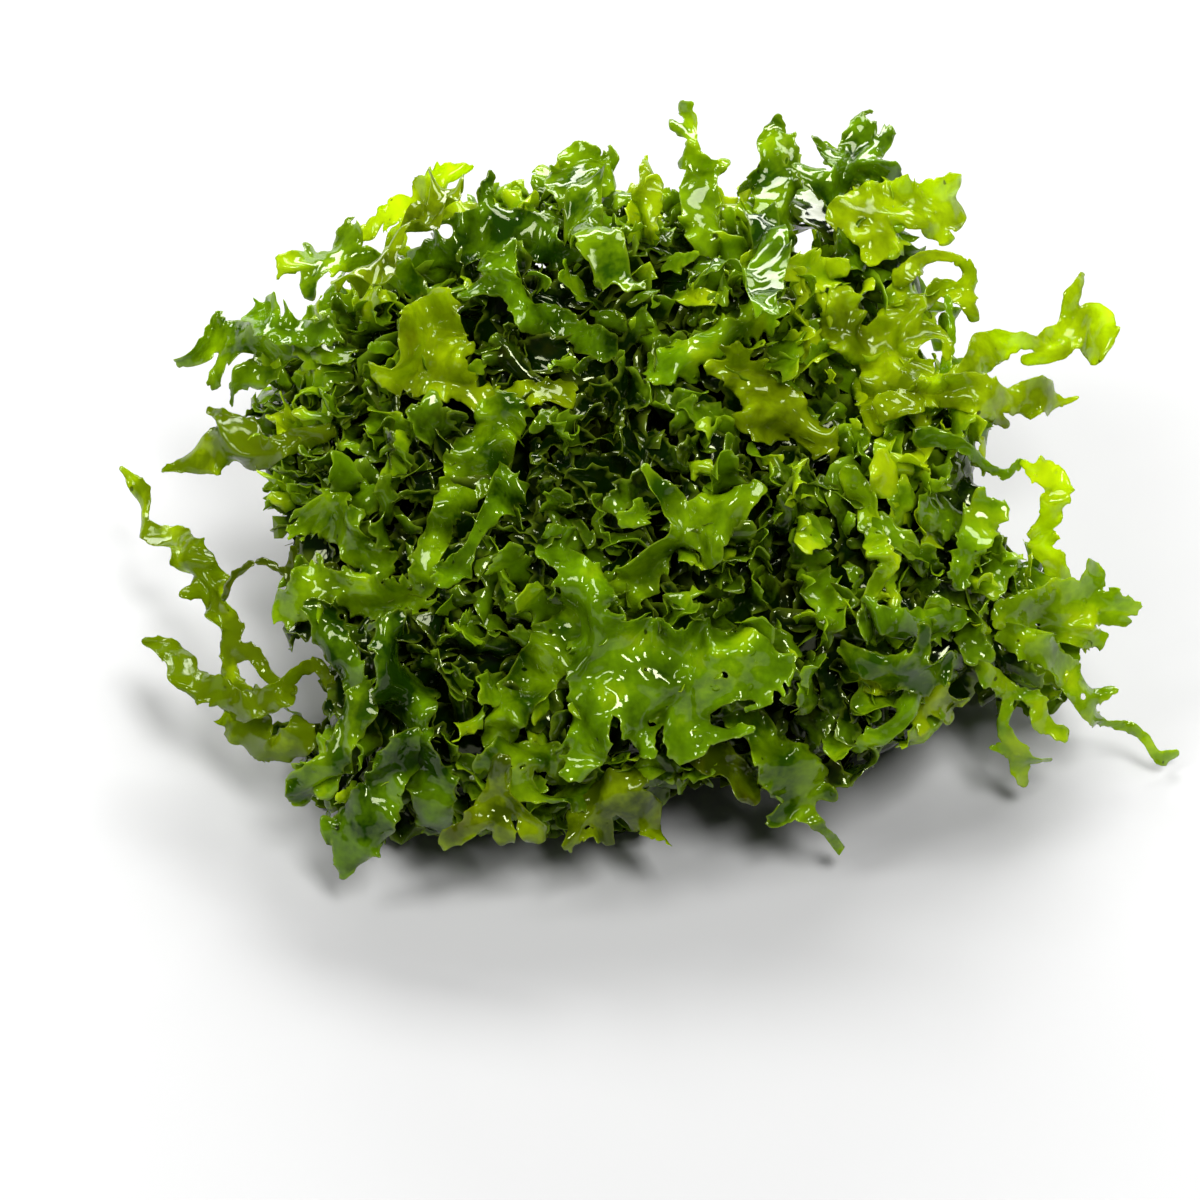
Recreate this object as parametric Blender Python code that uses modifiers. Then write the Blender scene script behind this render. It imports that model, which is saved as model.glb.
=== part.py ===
"""A loose clump of pellia liverwort that rests on a flat surface.

Pellia has no stem and no leaves. Each plant is a thallus, one flat green ribbon that forks and
has a scalloped, ruffled margin. Hundreds of short ones are packed into a mat, and the long ones
stand out of it on all sides. The clump's frame is +Z up, with its origin on the surface under
the middle of the mat. Lengths below are in millimetres, except where a name says otherwise.
"""

import math

import bmesh
import bpy
import numpy as np
from mathutils import Matrix, Vector
from mathutils.bvhtree import BVHTree
from mathutils.geometry import delaunay_2d_cdt

MM = 0.001

# How the clump is looked at. The places of the long thalli are read in the pixels of that view.
VIEW_ELEVATION = math.radians(48.0)
PIXELS_PER_MM = 14.3
MIDDLE_PIXEL = (645.0, 487.0)
MIDDLE_HEIGHT = 18.0
FAR_OUT = 60.0
SEARCH_STEP = 0.5

# The thalli.
THALLUS_THICKNESS = 0.5
RESTING_GAP = 0.3
ROOT_LIFT = 1.0
LOWEST_RIBBON = 0.7
NARROWEST = 0.5
STEEPEST_DROOP = 1.2
CLEARANCES = (0.75, 1.1, 1.5, 1.9, 2.4, 3.0)
FINER_MARGINS = (1.0, 1.2, 1.45, 1.8)
SHARPEST_FOLD = math.radians(172.0)
DRAPE_SLOPE = 0.8
DRAPE_SHELF = 1.0
ROUTE_STEP = 0.4
SHEET_SPACING = 0.42
SHEET_MARGIN = 3.5
SNAP_SHARE = 0.3
PINCH_SHARE = 0.35
SCALLOP_DEPTH = 0.38
SCALLOP_SHARE = 0.3
SCALLOP_LENGTH = 3.2
WAVE_COUNT = 6
RUFFLE_HEIGHT = 0.8
RUFFLE_LENGTH = 5.0
RUFFLE_REACH = 2.0
RUFFLE_MIDDLE = 0.3
MARGIN_POINTS = 8
MARGIN_POINTS_PER_MM = 0.6
FINEST_MARGIN = 0.08
COARSEST_MARGIN = 0.36
COARSER_STEP = 1.08
SMALLEST_HOLE = 0.8
PROBE_RADIUS = 0.9
INNER_POINT_WIDTH = 0.75
INNER_POINT_STEP = 6
BLEND_REACH = 0.4
ON_THE_SURFACE = -40.0
FRONT_FIRST_SEED = 100
BACK_FIRST_SEED = 900
SEEDS_APART = 7

# The packed mat: round lumps (x, y, z, radius) that melt into one heap, cut flat below.
HEAP_LUMPS = (
    (0, 0, 13, 15),
    (-13, 8, 17, 10),
    (0, 9, 19, 12),
    (13, 9, 19, 11),
    (14, 12, 25, 7.5),
    (-7, 12, 23, 8),
    (-24, 11, 13, 6),
    (-15, -1, 13, 10.5),
    (15, -1, 14, 12),
    (20, -3, 10, 8.5),
    (-13, -9, 9, 10),
    (-17, -11, 7, 7.5),
    (-3, -9, 9, 10.5),
    (10, -8, 9, 10.5),
    (19, -7, 9, 7.5),
)
HEAP_VOXEL = 1.2
HEAP_SMOOTHING = 12
HEAP_FACETS = 560
HEAP_BUMP = 0.7
HEAP_BUMP_LENGTH = 9.0
HEAP_SEED = 5
LOBE_SEED = 11
LOBE_COUNT = 84
LOBE_TRIES = 6000
LOBE_SPACING = 3.7
LOBE_LENGTH = (3.6, 6.2)
LOBE_ROOT = 1.6
LOBE_SCATTER = 0.8
LOBE_BASE = 0.9
LOBE_TIP = 0.4
LOBE_WIDTH = (2.6, 4.6)
LOBE_THICKNESS = 0.7
LOBE_WAIST = (0.6, 0.85)
LOBE_LEAN = 0.45
LOBE_CURL = 0.35
LOBE_LOWEST = 2.2
LOWEST_FACING = -0.7

# The long thalli, from the farthest to the nearest, so that each lies on those before it. Each
# has a tint, the lift of its tips off the mat, and its ribbons: points (pixel across, pixel
# down, half-width) from the root to the tip, and then the side branches in the same way.
THALLI = {
    "top_knobbed_thallus": ("fresh", 1.5, (
        ((575, 225, 1.0), (575, 195, 1.3), (575, 170, 1.5), (578, 146, 0.6)),
        ((588, 190, 0.8), (605, 165, 0.85)),
    )),
    "top_tongue_thallus": ("backlit", -1.0, (
        ((650, 235, 0.8), (645, 195, 0.75), (645, 175, 0.8), (644, 160, 0.3)),
    )),
    "tallest_thallus": ("fresh", 0.5, (
        ((706, 245, 1.1), (700, 200, 1.2), (692, 155, 0.7), (690, 133, 0.45), (687, 107, 0.6)),
        ((698, 190, 0.9), (712, 172, 0.6), (725, 160, 0.35)),
        ((690, 138, 0.45), (671, 130, 0.4)),
    )),
    "upright_top_thallus": ("fresh", 0.0, (
        ((778, 240, 1.1), (770, 195, 1.1), (767, 172, 1.1), (775, 140, 0.85), (778, 119, 0.4)),
    )),
    "crested_top_thallus": ("deep", 2.5, (
        ((842, 235, 1.3), (832, 182, 1.5), (848, 142, 1.3), (862, 126, 0.7)),
        ((836, 168, 1.1), (815, 150, 0.6)),
        ((850, 155, 1.2), (890, 133, 0.6)),
        ((846, 180, 1.2), (900, 162, 0.7)),
    )),
    "broad_top_right_thallus": ("backlit", 0.0, (
        ((845, 225, 1.2), (888, 207, 1.6), (925, 205, 1.8), (950, 184, 0.8)),
        ((915, 208, 1.5), (945, 212, 1.1), (957, 216, 0.7)),
        ((918, 212, 1.3), (945, 235, 0.6)),
        ((880, 215, 1.5), (874, 240, 1.6), (868, 262, 0.9)),
    )),
    "yellow_top_left_thallus": ("backlit", -0.5, (
        (
            (490, 222, 0.9), (455, 206, 0.8), (430, 196, 0.9), (405, 206, 1.0), (375, 222, 0.8),
            (346, 240, 0.5),
        ),
        ((418, 198, 0.9), (422, 180, 1.0), (437, 169, 0.9), (463, 167, 0.4)),
        ((403, 214, 0.7), (400, 240, 0.7), (386, 254, 0.5)),
    )),
    "dark_top_left_thallus": ("deep", 2.5, (
        ((565, 262, 1.3), (520, 236, 1.8), (470, 240, 1.8), (430, 256, 1.3), (400, 268, 0.6)),
        ((500, 228, 1.3), (486, 200, 0.9), (494, 178, 0.4)),
    )),
    "arched_right_thallus": ("olive", 0.0, (
        ((895, 275, 0.8), (920, 260, 0.6), (945, 260, 0.5), (962, 272, 0.5), (957, 292, 1.0)),
        ((958, 295, 0.7), (966, 318, 0.5)),
    )),
    "right_strap_thallus": ("deep", 1.0, (
        ((915, 405, 0.8), (936, 380, 0.5), (950, 343, 0.42), (945, 306, 0.4)),
    )),
    "upper_right_lobed_thallus": ("backlit", 2.0, (
        ((875, 420, 1.2), (882, 378, 1.6), (885, 346, 1.9), (905, 318, 1.1)),
        ((878, 352, 1.4), (845, 340, 1.5), (836, 305, 0.9)),
        ((892, 362, 1.2), (918, 370, 0.6)),
    )),
    "right_forked_thallus": ("backlit", -0.5, (
        (
            (912, 408, 1.4), (942, 390, 1.3), (962, 370, 1.1), (986, 350, 1.05), (1012, 341, 0.75),
            (1040, 340, 0.7), (1066, 328, 1.25), (1090, 325, 1.4), (1106, 322, 0.9),
        ),
        ((1068, 325, 0.9), (1068, 294, 0.55), (1082, 277, 0.3)),
        ((1094, 335, 1.0), (1101, 350, 0.9), (1117, 335, 0.4)),
        ((1070, 336, 0.8), (1060, 352, 0.65), (1031, 364, 0.5)),
    )),
    "right_pointed_thallus": ("olive", 0.0, (
        (
            (880, 412, 1.0), (930, 397, 1.1), (962, 397, 1.1), (1000, 400, 0.8), (1030, 398, 1.25),
            (1060, 405, 0.35), (1076, 401, 0.25),
        ),
        ((925, 405, 0.9), (962, 412, 0.7), (997, 425, 0.35)),
    )),
    "hooked_right_thallus": ("deep", 0.0, (
        ((915, 440, 0.7), (946, 447, 0.45), (975, 469, 0.35), (1000, 478, 0.35), (1012, 466, 0.28)),
    )),
    "right_upright_thallus": ("backlit", -1.0, (
        (
            (1050, 595, 1.1), (1055, 568, 1.05), (1040, 548, 1.1), (1036, 527, 1.0), (1047, 504, 0.85),
            (1057, 486, 0.8), (1044, 470, 0.9), (1020, 463, 0.45),
        ),
    )),
    "right_leafy_thallus": ("deep", 0.5, (
        ((945, 575, 0.9), (968, 540, 1.1), (978, 515, 1.1), (1002, 504, 0.35)),
    )),
    "right_cluster_thallus": ("fresh", 1.0, (
        ((1005, 618, 1.2), (1055, 602, 1.3), (1090, 603, 1.4), (1115, 605, 1.1), (1130, 603, 0.5)),
        ((1100, 610, 1.0), (1124, 625, 0.5)),
        ((1085, 600, 1.0), (1095, 572, 0.8)),
        ((1050, 612, 1.0), (1070, 630, 1.0), (1095, 640, 0.6)),
    )),
    "right_tailed_thallus": ("fresh", ON_THE_SURFACE, (
        (
            (1010, 640, 1.1), (1060, 663, 1.0), (1075, 690, 1.0), (1092, 716, 0.75), (1110, 731, 0.32),
            (1130, 737, 0.42), (1146, 742, 0.3), (1162, 753, 0.4), (1182, 752, 0.25),
        ),
        ((1084, 703, 0.5), (1095, 698, 0.4), (1107, 694, 0.3)),
    )),
    "right_starred_thallus": ("deep", ON_THE_SURFACE, (
        (
            (975, 672, 0.9), (998, 690, 0.6), (1006, 712, 0.45), (1010, 730, 0.45), (1022, 752, 0.8),
            (1027, 786, 0.3),
        ),
        ((1022, 757, 0.6), (1047, 758, 0.3)),
        ((1018, 748, 0.5), (996, 745, 0.3)),
        ((1003, 692, 0.5), (1030, 700, 0.5), (1043, 718, 0.55), (1064, 728, 0.4)),
    )),
    "left_knobbed_thallus": ("fresh", 0.0, (
        ((335, 355, 1.1), (290, 345, 1.0), (236, 335, 0.95), (200, 335, 0.95), (172, 345, 0.6)),
        ((214, 333, 0.7), (206, 313, 0.5)),
        ((262, 345, 0.7), (236, 356, 0.55), (210, 360, 0.5), (201, 378, 0.4)),
    )),
    "left_spiky_thallus": ("deep", 2.0, (
        ((325, 332, 1.0), (290, 325, 1.2), (262, 318, 1.6), (240, 316, 0.7)),
        ((262, 316, 1.2), (266, 298, 0.6)),
    )),
    "upper_left_strap_thallus": ("fresh", 0.0, (
        ((410, 285, 1.3), (360, 257, 1.0), (322, 261, 1.0), (291, 273, 0.7)),
        ((312, 263, 0.7), (308, 241, 0.4)),
        ((345, 256, 0.9), (351, 232, 0.9)),
        ((322, 268, 0.8), (311, 290, 0.8)),
    )),
    "left_blunt_thallus": ("backlit", 0.0, (
        ((315, 435, 1.1), (275, 450, 1.1), (250, 454, 1.1), (215, 452, 1.3), (174, 464, 0.9)),
        ((258, 445, 1.0), (235, 428, 0.9), (204, 408, 0.4)),
    )),
    "far_left_trailing_thallus": ("backlit", ON_THE_SURFACE, (
        (
            (305, 735, 1.1), (270, 752, 1.2), (247, 722, 1.7), (236, 690, 1.3), (229, 655, 0.65),
            (234, 635, 1.0),
            (215, 605, 1.4), (190, 570, 1.7), (165, 541, 1.4), (143, 526, 0.8), (127, 510, 0.42),
            (120, 490, 0.75),
            (106, 464, 0.35),
        ),
        ((205, 595, 0.8), (177, 602, 0.4)),
    )),
    "left_lower_thallus": ("backlit", ON_THE_SURFACE, (
        (
            (288, 700, 1.1), (243, 700, 1.0), (218, 690, 1.1), (194, 678, 1.2), (170, 651, 1.2),
            (151, 645, 0.5),
        ),
    )),
    "thin_left_thallus": ("olive", 0.0, (
        ((335, 578, 0.6), (290, 575, 0.38), (260, 570, 0.35), (240, 576, 0.35), (231, 590, 0.3)),
        ((295, 573, 0.5), (300, 549, 0.4)),
    )),
    "left_diamond_thallus": ("fresh", 3.0, (
        ((385, 565, 1.1), (352, 537, 1.6), (330, 522, 1.6), (306, 532, 0.6)),
        ((332, 518, 1.2), (331, 503, 0.5)),
        ((350, 525, 1.2), (368, 515, 0.4)),
    )),
    "glossy_upper_thallus": ("deep", 4.0, (
        (
            (600, 350, 1.0), (570, 333, 1.0), (530, 312, 1.3), (506, 285, 1.5), (508, 265, 1.0),
            (511, 250, 0.4),
        ),
        ((505, 296, 1.3), (471, 305, 0.6)),
    )),
    "bright_plate_thallus": ("olive", 4.5, (
        (
            (565, 400, 0.9), (530, 404, 0.9), (490, 408, 1.0), (455, 382, 1.8), (432, 352, 2.5),
            (440, 318, 1.4),
        ),
        ((425, 362, 2.0), (396, 375, 1.2), (384, 377, 0.5)),
        ((445, 355, 1.6), (475, 350, 0.5)),
    )),
    "upper_middle_leafy_thallus": ("deep", 4.0, (
        ((665, 372, 1.2), (720, 343, 1.2), (750, 330, 1.3), (785, 318, 0.4)),
    )),
    "right_middle_thallus": ("olive", 3.5, (
        ((815, 440, 1.2), (768, 403, 1.6), (740, 380, 1.7), (712, 376, 0.8)),
        ((790, 425, 1.2), (760, 430, 1.0), (742, 425, 0.5)),
    )),
    "glossy_right_ribbon_thallus": ("fresh", 4.0, (
        ((842, 480, 0.8), (857, 510, 0.7), (868, 540, 0.7), (875, 570, 0.7), (858, 592, 0.5)),
    )),
    "right_front_leafy_thallus": ("deep", 3.5, (
        ((945, 625, 1.1), (902, 618, 0.9), (876, 619, 1.0), (850, 605, 0.4)),
    )),
    "middle_bright_thallus": ("fresh", 5.0, (
        ((625, 600, 1.3), (655, 560, 1.4), (682, 535, 1.4), (716, 518, 1.4), (750, 490, 0.6)),
        ((678, 530, 1.1), (672, 508, 0.8), (656, 489, 0.9), (644, 472, 0.35)),
        ((700, 528, 1.2), (702, 550, 0.8)),
    )),
    "bowed_left_thallus": ("fresh", 3.0, (
        (
            (505, 420, 1.7), (490, 445, 2.1), (470, 488, 1.7), (446, 520, 0.85), (435, 550, 1.0),
            (423, 586, 1.1),
            (390, 604, 1.3), (350, 586, 1.5), (320, 592, 1.7), (291, 610, 0.8),
        ),
    )),
    "tongue_thallus": ("deep", 3.0, (
        ((512, 488, 1.1), (492, 517, 0.8), (475, 541, 0.5), (458, 568, 1.0), (450, 588, 0.5)),
    )),
    "left_strip_thallus": ("deep", 3.0, (
        ((325, 615, 1.0), (341, 645, 1.0), (360, 670, 1.05), (366, 700, 1.05), (358, 728, 0.6)),
    )),
    "square_ended_thallus": ("fresh", -2.0, (
        ((372, 700, 1.1), (352, 738, 0.8), (338, 762, 0.9), (314, 788, 1.5)),
    )),
    "lower_left_band_thallus": ("deep", 2.5, (
        (
            (400, 640, 1.5), (402, 665, 1.7), (411, 700, 1.9), (425, 742, 1.7), (438, 788, 1.4),
            (430, 820, 0.7),
        ),
    )),
    "glossy_lower_left_thallus": ("deep", ON_THE_SURFACE, (
        ((420, 740, 1.3), (397, 780, 1.5), (383, 806, 1.8), (362, 832, 1.9), (352, 864, 0.6)),
        ((362, 825, 1.2), (331, 822, 0.6)),
    )),
    "pale_front_thallus": ("fresh", 3.0, (
        ((600, 600, 1.2), (560, 640, 1.3), (530, 680, 1.3), (505, 720, 1.2), (490, 752, 0.6)),
    )),
    "front_band_thallus": ("fresh", -2.0, (
        ((665, 760, 1.1), (640, 773, 1.1), (600, 793, 1.1), (560, 788, 1.1), (520, 776, 0.8)),
        ((600, 780, 0.9), (560, 748, 0.9), (520, 751, 0.9), (486, 757, 0.4)),
    )),
    "front_left_lobed_thallus": ("olive", ON_THE_SURFACE, (
        ((500, 775, 1.2), (492, 803, 1.2), (478, 820, 1.2), (456, 836, 0.7)),
        ((495, 808, 1.0), (503, 834, 0.7)),
        ((502, 795, 0.8), (522, 812, 0.7), (531, 833, 0.85)),
    )),
    "front_middle_lobed_thallus": ("olive", ON_THE_SURFACE, (
        ((625, 785, 1.3), (590, 808, 1.4), (575, 836, 0.9)),
        ((600, 808, 1.1), (606, 838, 0.7)),
        ((630, 795, 1.2), (650, 820, 1.1), (664, 840, 0.6)),
    )),
    "front_olive_thallus": ("olive", -1.0, (
        ((675, 730, 1.1), (705, 752, 1.2), (730, 762, 1.2), (750, 786, 0.7)),
    )),
    "front_right_fanned_thallus": ("fresh", ON_THE_SURFACE, (
        (
            (735, 712, 1.3), (760, 742, 1.4), (790, 770, 1.9), (797, 800, 1.1), (815, 826, 0.6),
            (835, 846, 0.7),
        ),
        ((792, 785, 0.9), (826, 795, 0.4)),
        ((790, 795, 0.9), (772, 814, 0.5)),
    )),
    "olive_front_right_thallus": ("olive", -2.0, (
        ((870, 685, 1.1), (905, 684, 1.1), (930, 700, 1.2), (945, 724, 0.7)),
        ((925, 698, 0.9), (963, 709, 0.5)),
        ((915, 698, 0.9), (916, 735, 0.5)),
    )),
    "front_right_strap_thallus": ("deep", -1.0, (
        ((905, 690, 0.9), (898, 718, 0.7), (878, 740, 0.7), (851, 756, 0.4)),
    )),
    "right_front_forked_thallus": ("fresh", 3.5, (
        ((925, 668, 1.1), (900, 675, 1.2), (878, 669, 1.3), (858, 659, 1.2), (840, 645, 0.6)),
        ((884, 664, 0.8), (900, 649, 0.6), (905, 630, 0.4)),
    )),
    "largest_front_thallus": ("deep", 4.5, (
        (
            (555, 545, 1.3), (575, 578, 1.5), (598, 630, 2.8), (630, 662, 3.0), (672, 668, 3.0),
            (722, 664, 2.6),
            (776, 662, 0.6),
        ),
        ((682, 655, 1.4), (696, 630, 0.8)),
        ((672, 680, 2.1), (684, 718, 1.7), (692, 746, 0.6)),
        ((686, 712, 1.0), (714, 734, 0.6), (737, 725, 0.4)),
        ((602, 655, 1.7), (592, 705, 1.1), (586, 740, 1.4), (577, 769, 0.6)),
        ((622, 680, 1.2), (626, 716, 0.9), (650, 741, 0.6)),
    )),
}

# The far side isn't in the view above. Its long thalli grow by rule: where each starts on the
# mat, seen from behind in millimetres, and which way it heads there, in degrees.
BACK_THALLI = {
    "back_left_thallus": ("fresh", (-15, -10), 220),
    "back_upper_left_thallus": ("deep", (-8, 5), 125),
    "back_upper_thallus": ("fresh", (4, 4), 75),
    "back_upper_right_thallus": ("olive", (14, 2), 40),
    "back_middle_thallus": ("fresh", (-4, -8), 255),
    "back_lower_left_thallus": ("deep", (-14, -8), 215),
    "back_lower_thallus": ("olive", (5, -9), 280),
    "back_lower_right_thallus": ("fresh", (14, -12), 320),
}
BACK_ELEVATION = math.radians(40.0)
BACK_STEPS = 5
BACK_STEP_LENGTH = 2.6
BACK_TURN = 32
BACK_HALF_WIDTH = (0.9, 1.6)
BACK_LIFT = 3.5
BACK_TIP_TAPER = 0.5
BACK_FORK_TURN = 60
BACK_FORK_LENGTH = 4.2
BACK_FORK_HALF_WIDTHS = (1.0, 0.6)
BACK_SEED = 23

# Tints: colour, roughness.
TINTS = {
    "deep": ((0.018, 0.085, 0.006), 0.22),
    "fresh": ((0.050, 0.180, 0.010), 0.24),
    "backlit": ((0.210, 0.380, 0.020), 0.28),
    "olive": ((0.120, 0.170, 0.020), 0.26),
    "mat": ((0.020, 0.070, 0.008), 0.30),
}

for old in list(bpy.data.objects):
    bpy.data.objects.remove(old, do_unlink=True)

clump = bpy.data.collections.new("pellia_liverwort")
cutters = bpy.data.collections.new("mat_lobes")
bpy.context.scene.collection.children.link(clump)
bpy.context.scene.collection.children.link(cutters)


def tint_material(name):
    """The wet green of one tint."""
    colour, roughness = TINTS[name]
    material = bpy.data.materials.get(name) or bpy.data.materials.new(name)
    material.use_nodes = True
    shader = material.node_tree.nodes["Principled BSDF"]
    shader.inputs["Base Color"].default_value = (*colour, 1.0)
    shader.inputs["Roughness"].default_value = roughness
    shader.inputs["Metallic"].default_value = 0.0
    return material


def view_axes(elevation, from_behind):
    """The directions across a view, up in it and towards it."""
    turn = -1.0 if from_behind else 1.0
    across = np.array((turn, 0.0, 0.0))
    up = np.array((0.0, turn * math.sin(elevation), math.cos(elevation)))
    towards = np.array((0.0, -turn * math.cos(elevation), math.sin(elevation)))
    return across, up, towards


def in_space(axes, flat):
    """Points of a view, given as (across, up, near), as places in the clump's own frame."""
    across, up, towards = axes
    middle = np.array((0.0, 0.0, MIDDLE_HEIGHT))
    return middle + flat[:, :1] * across + flat[:, 1:2] * up + flat[:, 2:3] * towards


def waves(points, wavelength, seed):
    """A smooth random field, mostly between -1 and 1, made of crossed waves."""
    draw = np.random.default_rng(seed)
    pulls = draw.normal(size=(points.shape[1], WAVE_COUNT))
    pulls *= 2.0 * math.pi / wavelength / np.linalg.norm(pulls, axis=0)
    pulls *= draw.uniform(0.7, 1.3, WAVE_COUNT)
    starts = draw.uniform(0.0, 2.0 * math.pi, WAVE_COUNT)
    return np.sin(points @ pulls + starts).sum(axis=1) / math.sqrt(WAVE_COUNT)


def smooth_route(points):
    """Close points on a smooth curve through the given ones; their other values go along."""
    ends = np.vstack((2.0 * points[0] - points[1], points, 2.0 * points[-1] - points[-2]))
    samples = []
    for index in range(len(points) - 1):
        before, start, end, after = ends[index:index + 4]
        count = max(2, int(np.linalg.norm(end[:2] - start[:2]) / ROUTE_STEP))
        for t in np.arange(count) / count:
            bend = (2.0 * before - 5.0 * start + 4.0 * end - after) * t * t
            turn = (3.0 * start - before - 3.0 * end + after) * t ** 3
            samples.append(0.5 * (2.0 * start + (end - before) * t + bend + turn))
    samples.append(points[-1])
    return np.array(samples)


def mesh_tree(obj, spread=0.0):
    """A search tree of an object's finished faces, in millimetres."""
    graph = bpy.context.evaluated_depsgraph_get()
    done = obj.evaluated_get(graph)
    mesh = done.to_mesh()
    mesh.calc_loop_triangles()
    corners = [(vertex.co + vertex.normal * spread * MM) / MM for vertex in mesh.vertices]
    faces = [tuple(triangle.vertices) for triangle in mesh.loop_triangles]
    done.to_mesh_clear()
    return BVHTree.FromPolygons(corners, faces)


def is_sound(obj):
    """Whether a finished solid is closed, has no folded-over facet and doesn't cut itself."""
    done = bmesh.new()
    done.from_object(obj, bpy.context.evaluated_depsgraph_get())
    bmesh.ops.triangulate(done, faces=done.faces[:])
    done.normal_update()
    done.faces.ensure_lookup_table()
    edges = [edge for edge in done.edges if not edge.is_wire]
    sound = all(edge.is_manifold and abs(edge.calc_face_angle()) < SHARPEST_FOLD for edge in edges)
    corners = [{vertex.index for vertex in face.verts} for face in done.faces]
    crossings = BVHTree.FromBMesh(done).overlap(BVHTree.FromBMesh(done)) if sound else []
    sound = sound and not any(one < two and not corners[one] & corners[two] for one, two in crossings)
    done.free()
    return sound


def near_surface(tree, axes, flat):
    """How near to the view the mat is at a point of it, or passes it where the view misses it."""
    towards = Vector(axes[2])
    start = Vector(in_space(axes, np.array([[flat[0], flat[1], FAR_OUT]]))[0])
    hit = tree.ray_cast(start, -towards)
    if hit[0] is not None:
        return FAR_OUT - hit[3]
    best = None
    for near in np.arange(-FAR_OUT / 2.0, FAR_OUT / 2.0, SEARCH_STEP):
        place = Vector(in_space(axes, np.array([[flat[0], flat[1], near]]))[0])
        distance = tree.find_nearest(place)[3]
        if best is None or distance < best[0]:
            best = (distance, near)
    return best[1]


def lowest_near(axes, flat, height):
    """How near to the view a point is when it lies at a height over the surface below."""
    up, towards = axes[1], axes[2]
    return (height - MIDDLE_HEIGHT - flat[1] * up[2]) / towards[2]


def laid_route(tree, axes, points, root_lift, tip_lift):
    """One ribbon's smooth middle line: across, up, half-width and how near it is to the view."""
    steps = np.linalg.norm(np.diff(points[:, :2], axis=0), axis=1)
    along = np.concatenate(((0.0,), np.cumsum(steps))) / steps.sum()
    laid = []
    for index, ((across, up, half_width), share) in enumerate(zip(points, along)):
        flat = (across, up)
        near = near_surface(tree, axes, flat) + root_lift + (tip_lift - root_lift) * share
        if laid:
            most = STEEPEST_DROOP * steps[index - 1]
            near = min(max(near, laid[-1][3] - most), laid[-1][3] + most)
        near = max(near, lowest_near(axes, flat, LOWEST_RIBBON))
        laid.append((across, up, max(half_width, NARROWEST), near))
    return smooth_route(np.array(laid))


def flat_sheet(field, low, high, spacing):
    """A sheet of triangles that fills an outline; field is negative inside it."""
    row_height = spacing * math.sqrt(3.0) / 2.0
    columns = int((high[0] - low[0]) / spacing) + 3
    rows = int((high[1] - low[1]) / row_height) + 3
    row, column = np.divmod(np.arange(rows * columns), columns)
    places = np.stack((low[0] + (column + 0.5 * (row % 2)) * spacing, low[1] + row * row_height), axis=1)
    depth = field(places)
    nudge = 0.01
    slope = np.stack(
        [(field(places + step) - depth) / nudge for step in ((nudge, 0.0), (0.0, nudge))], axis=1
    )
    steepness = (slope ** 2).sum(axis=1) + 1e-9
    snapped = np.abs(depth) / np.sqrt(steepness) < SNAP_SHARE * spacing
    places[snapped] -= (depth / steepness)[snapped, None] * slope[snapped]
    depth[snapped] = 0.0

    triangles = []
    for r in range(rows - 1):
        for c in range(columns - 1):
            here, right = r * columns + c, r * columns + c + 1
            above, above_right = here + columns, right + columns
            if r % 2 == 0:
                triangles += [(here, right, above), (right, above_right, above)]
            else:
                triangles += [(here, right, above_right), (here, above_right, above)]
    while True:
        corners, faces = marched(places, depth, triangles)
        pinched = pinched_corners(faces)
        if not pinched:
            return np.array(corners), faces
        depth[pinched] = -PINCH_SHARE * spacing


def marched(places, depth, triangles):
    """The part of each triangle that is inside the outline."""
    corners = [tuple(place) for place in places]
    cuts = {}

    def cut(inner, outer):
        if (inner, outer) not in cuts:
            share = depth[inner] / (depth[inner] - depth[outer])
            cuts[inner, outer] = len(corners)
            corners.append(tuple(places[inner] + share * (places[outer] - places[inner])))
        return cuts[inner, outer]

    faces = []
    for triangle in triangles:
        if min(depth[corner] for corner in triangle) >= 0.0:
            continue
        loop = []
        for one, two in zip(triangle, triangle[1:] + triangle[:1]):
            if depth[one] <= 0.0:
                loop.append(one)
            if depth[one] < 0.0 < depth[two]:
                loop.append(cut(one, two))
            if depth[two] < 0.0 < depth[one]:
                loop.append(cut(two, one))
        if len(loop) >= 3:
            faces.append(loop)
    return corners, faces


def pinched_corners(faces):
    """Corners where the sheet only hangs together by a point."""
    sides = {}
    for face in faces:
        for one, two in zip(face, face[1:] + face[:1]):
            key = frozenset((one, two))
            sides[key] = sides.get(key, 0) + 1
    rim = {}
    for key, count in sides.items():
        if count == 1:
            for corner in key:
                rim[corner] = rim.get(corner, 0) + 1
    return [corner for corner, count in rim.items() if count > 2]


def rim_loops(faces):
    """The closed loops of corners along the sheet's margin and round its holes."""
    sides = {(one, two) for face in faces for one, two in zip(face, face[1:] + face[:1])}
    after = {one: two for one, two in sides if (two, one) not in sides}
    loops = []
    while after:
        loop = [next(iter(after))]
        while after.get(loop[-1]) is not None:
            loop.append(after.pop(loop[-1]))
        loops.append(loop[:-1])
    return loops


def straightened(line, tolerance):
    """A line with the points left out that lie within the tolerance of the rest."""
    if len(line) < 3:
        return line
    chord = line[-1] - line[0]
    length = max(np.linalg.norm(chord), 1e-9)
    offsets = line - line[0]
    aside = np.abs(chord[0] * offsets[:, 1] - chord[1] * offsets[:, 0]) / length
    if length < 1e-6:
        aside = np.linalg.norm(offsets, axis=1)
    split = int(aside.argmax())
    if aside[split] < tolerance:
        return line[[0, -1]]
    first = straightened(line[:split + 1], tolerance)
    return np.vstack((first[:-1], straightened(line[split:], tolerance)))


def loop_area(loop):
    """The area inside a loop, positive where it runs counter-clockwise."""
    ahead = np.roll(loop, -1, axis=0)
    return 0.5 * (loop[:, 0] * ahead[:, 1] - loop[:, 1] * ahead[:, 0]).sum()


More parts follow.
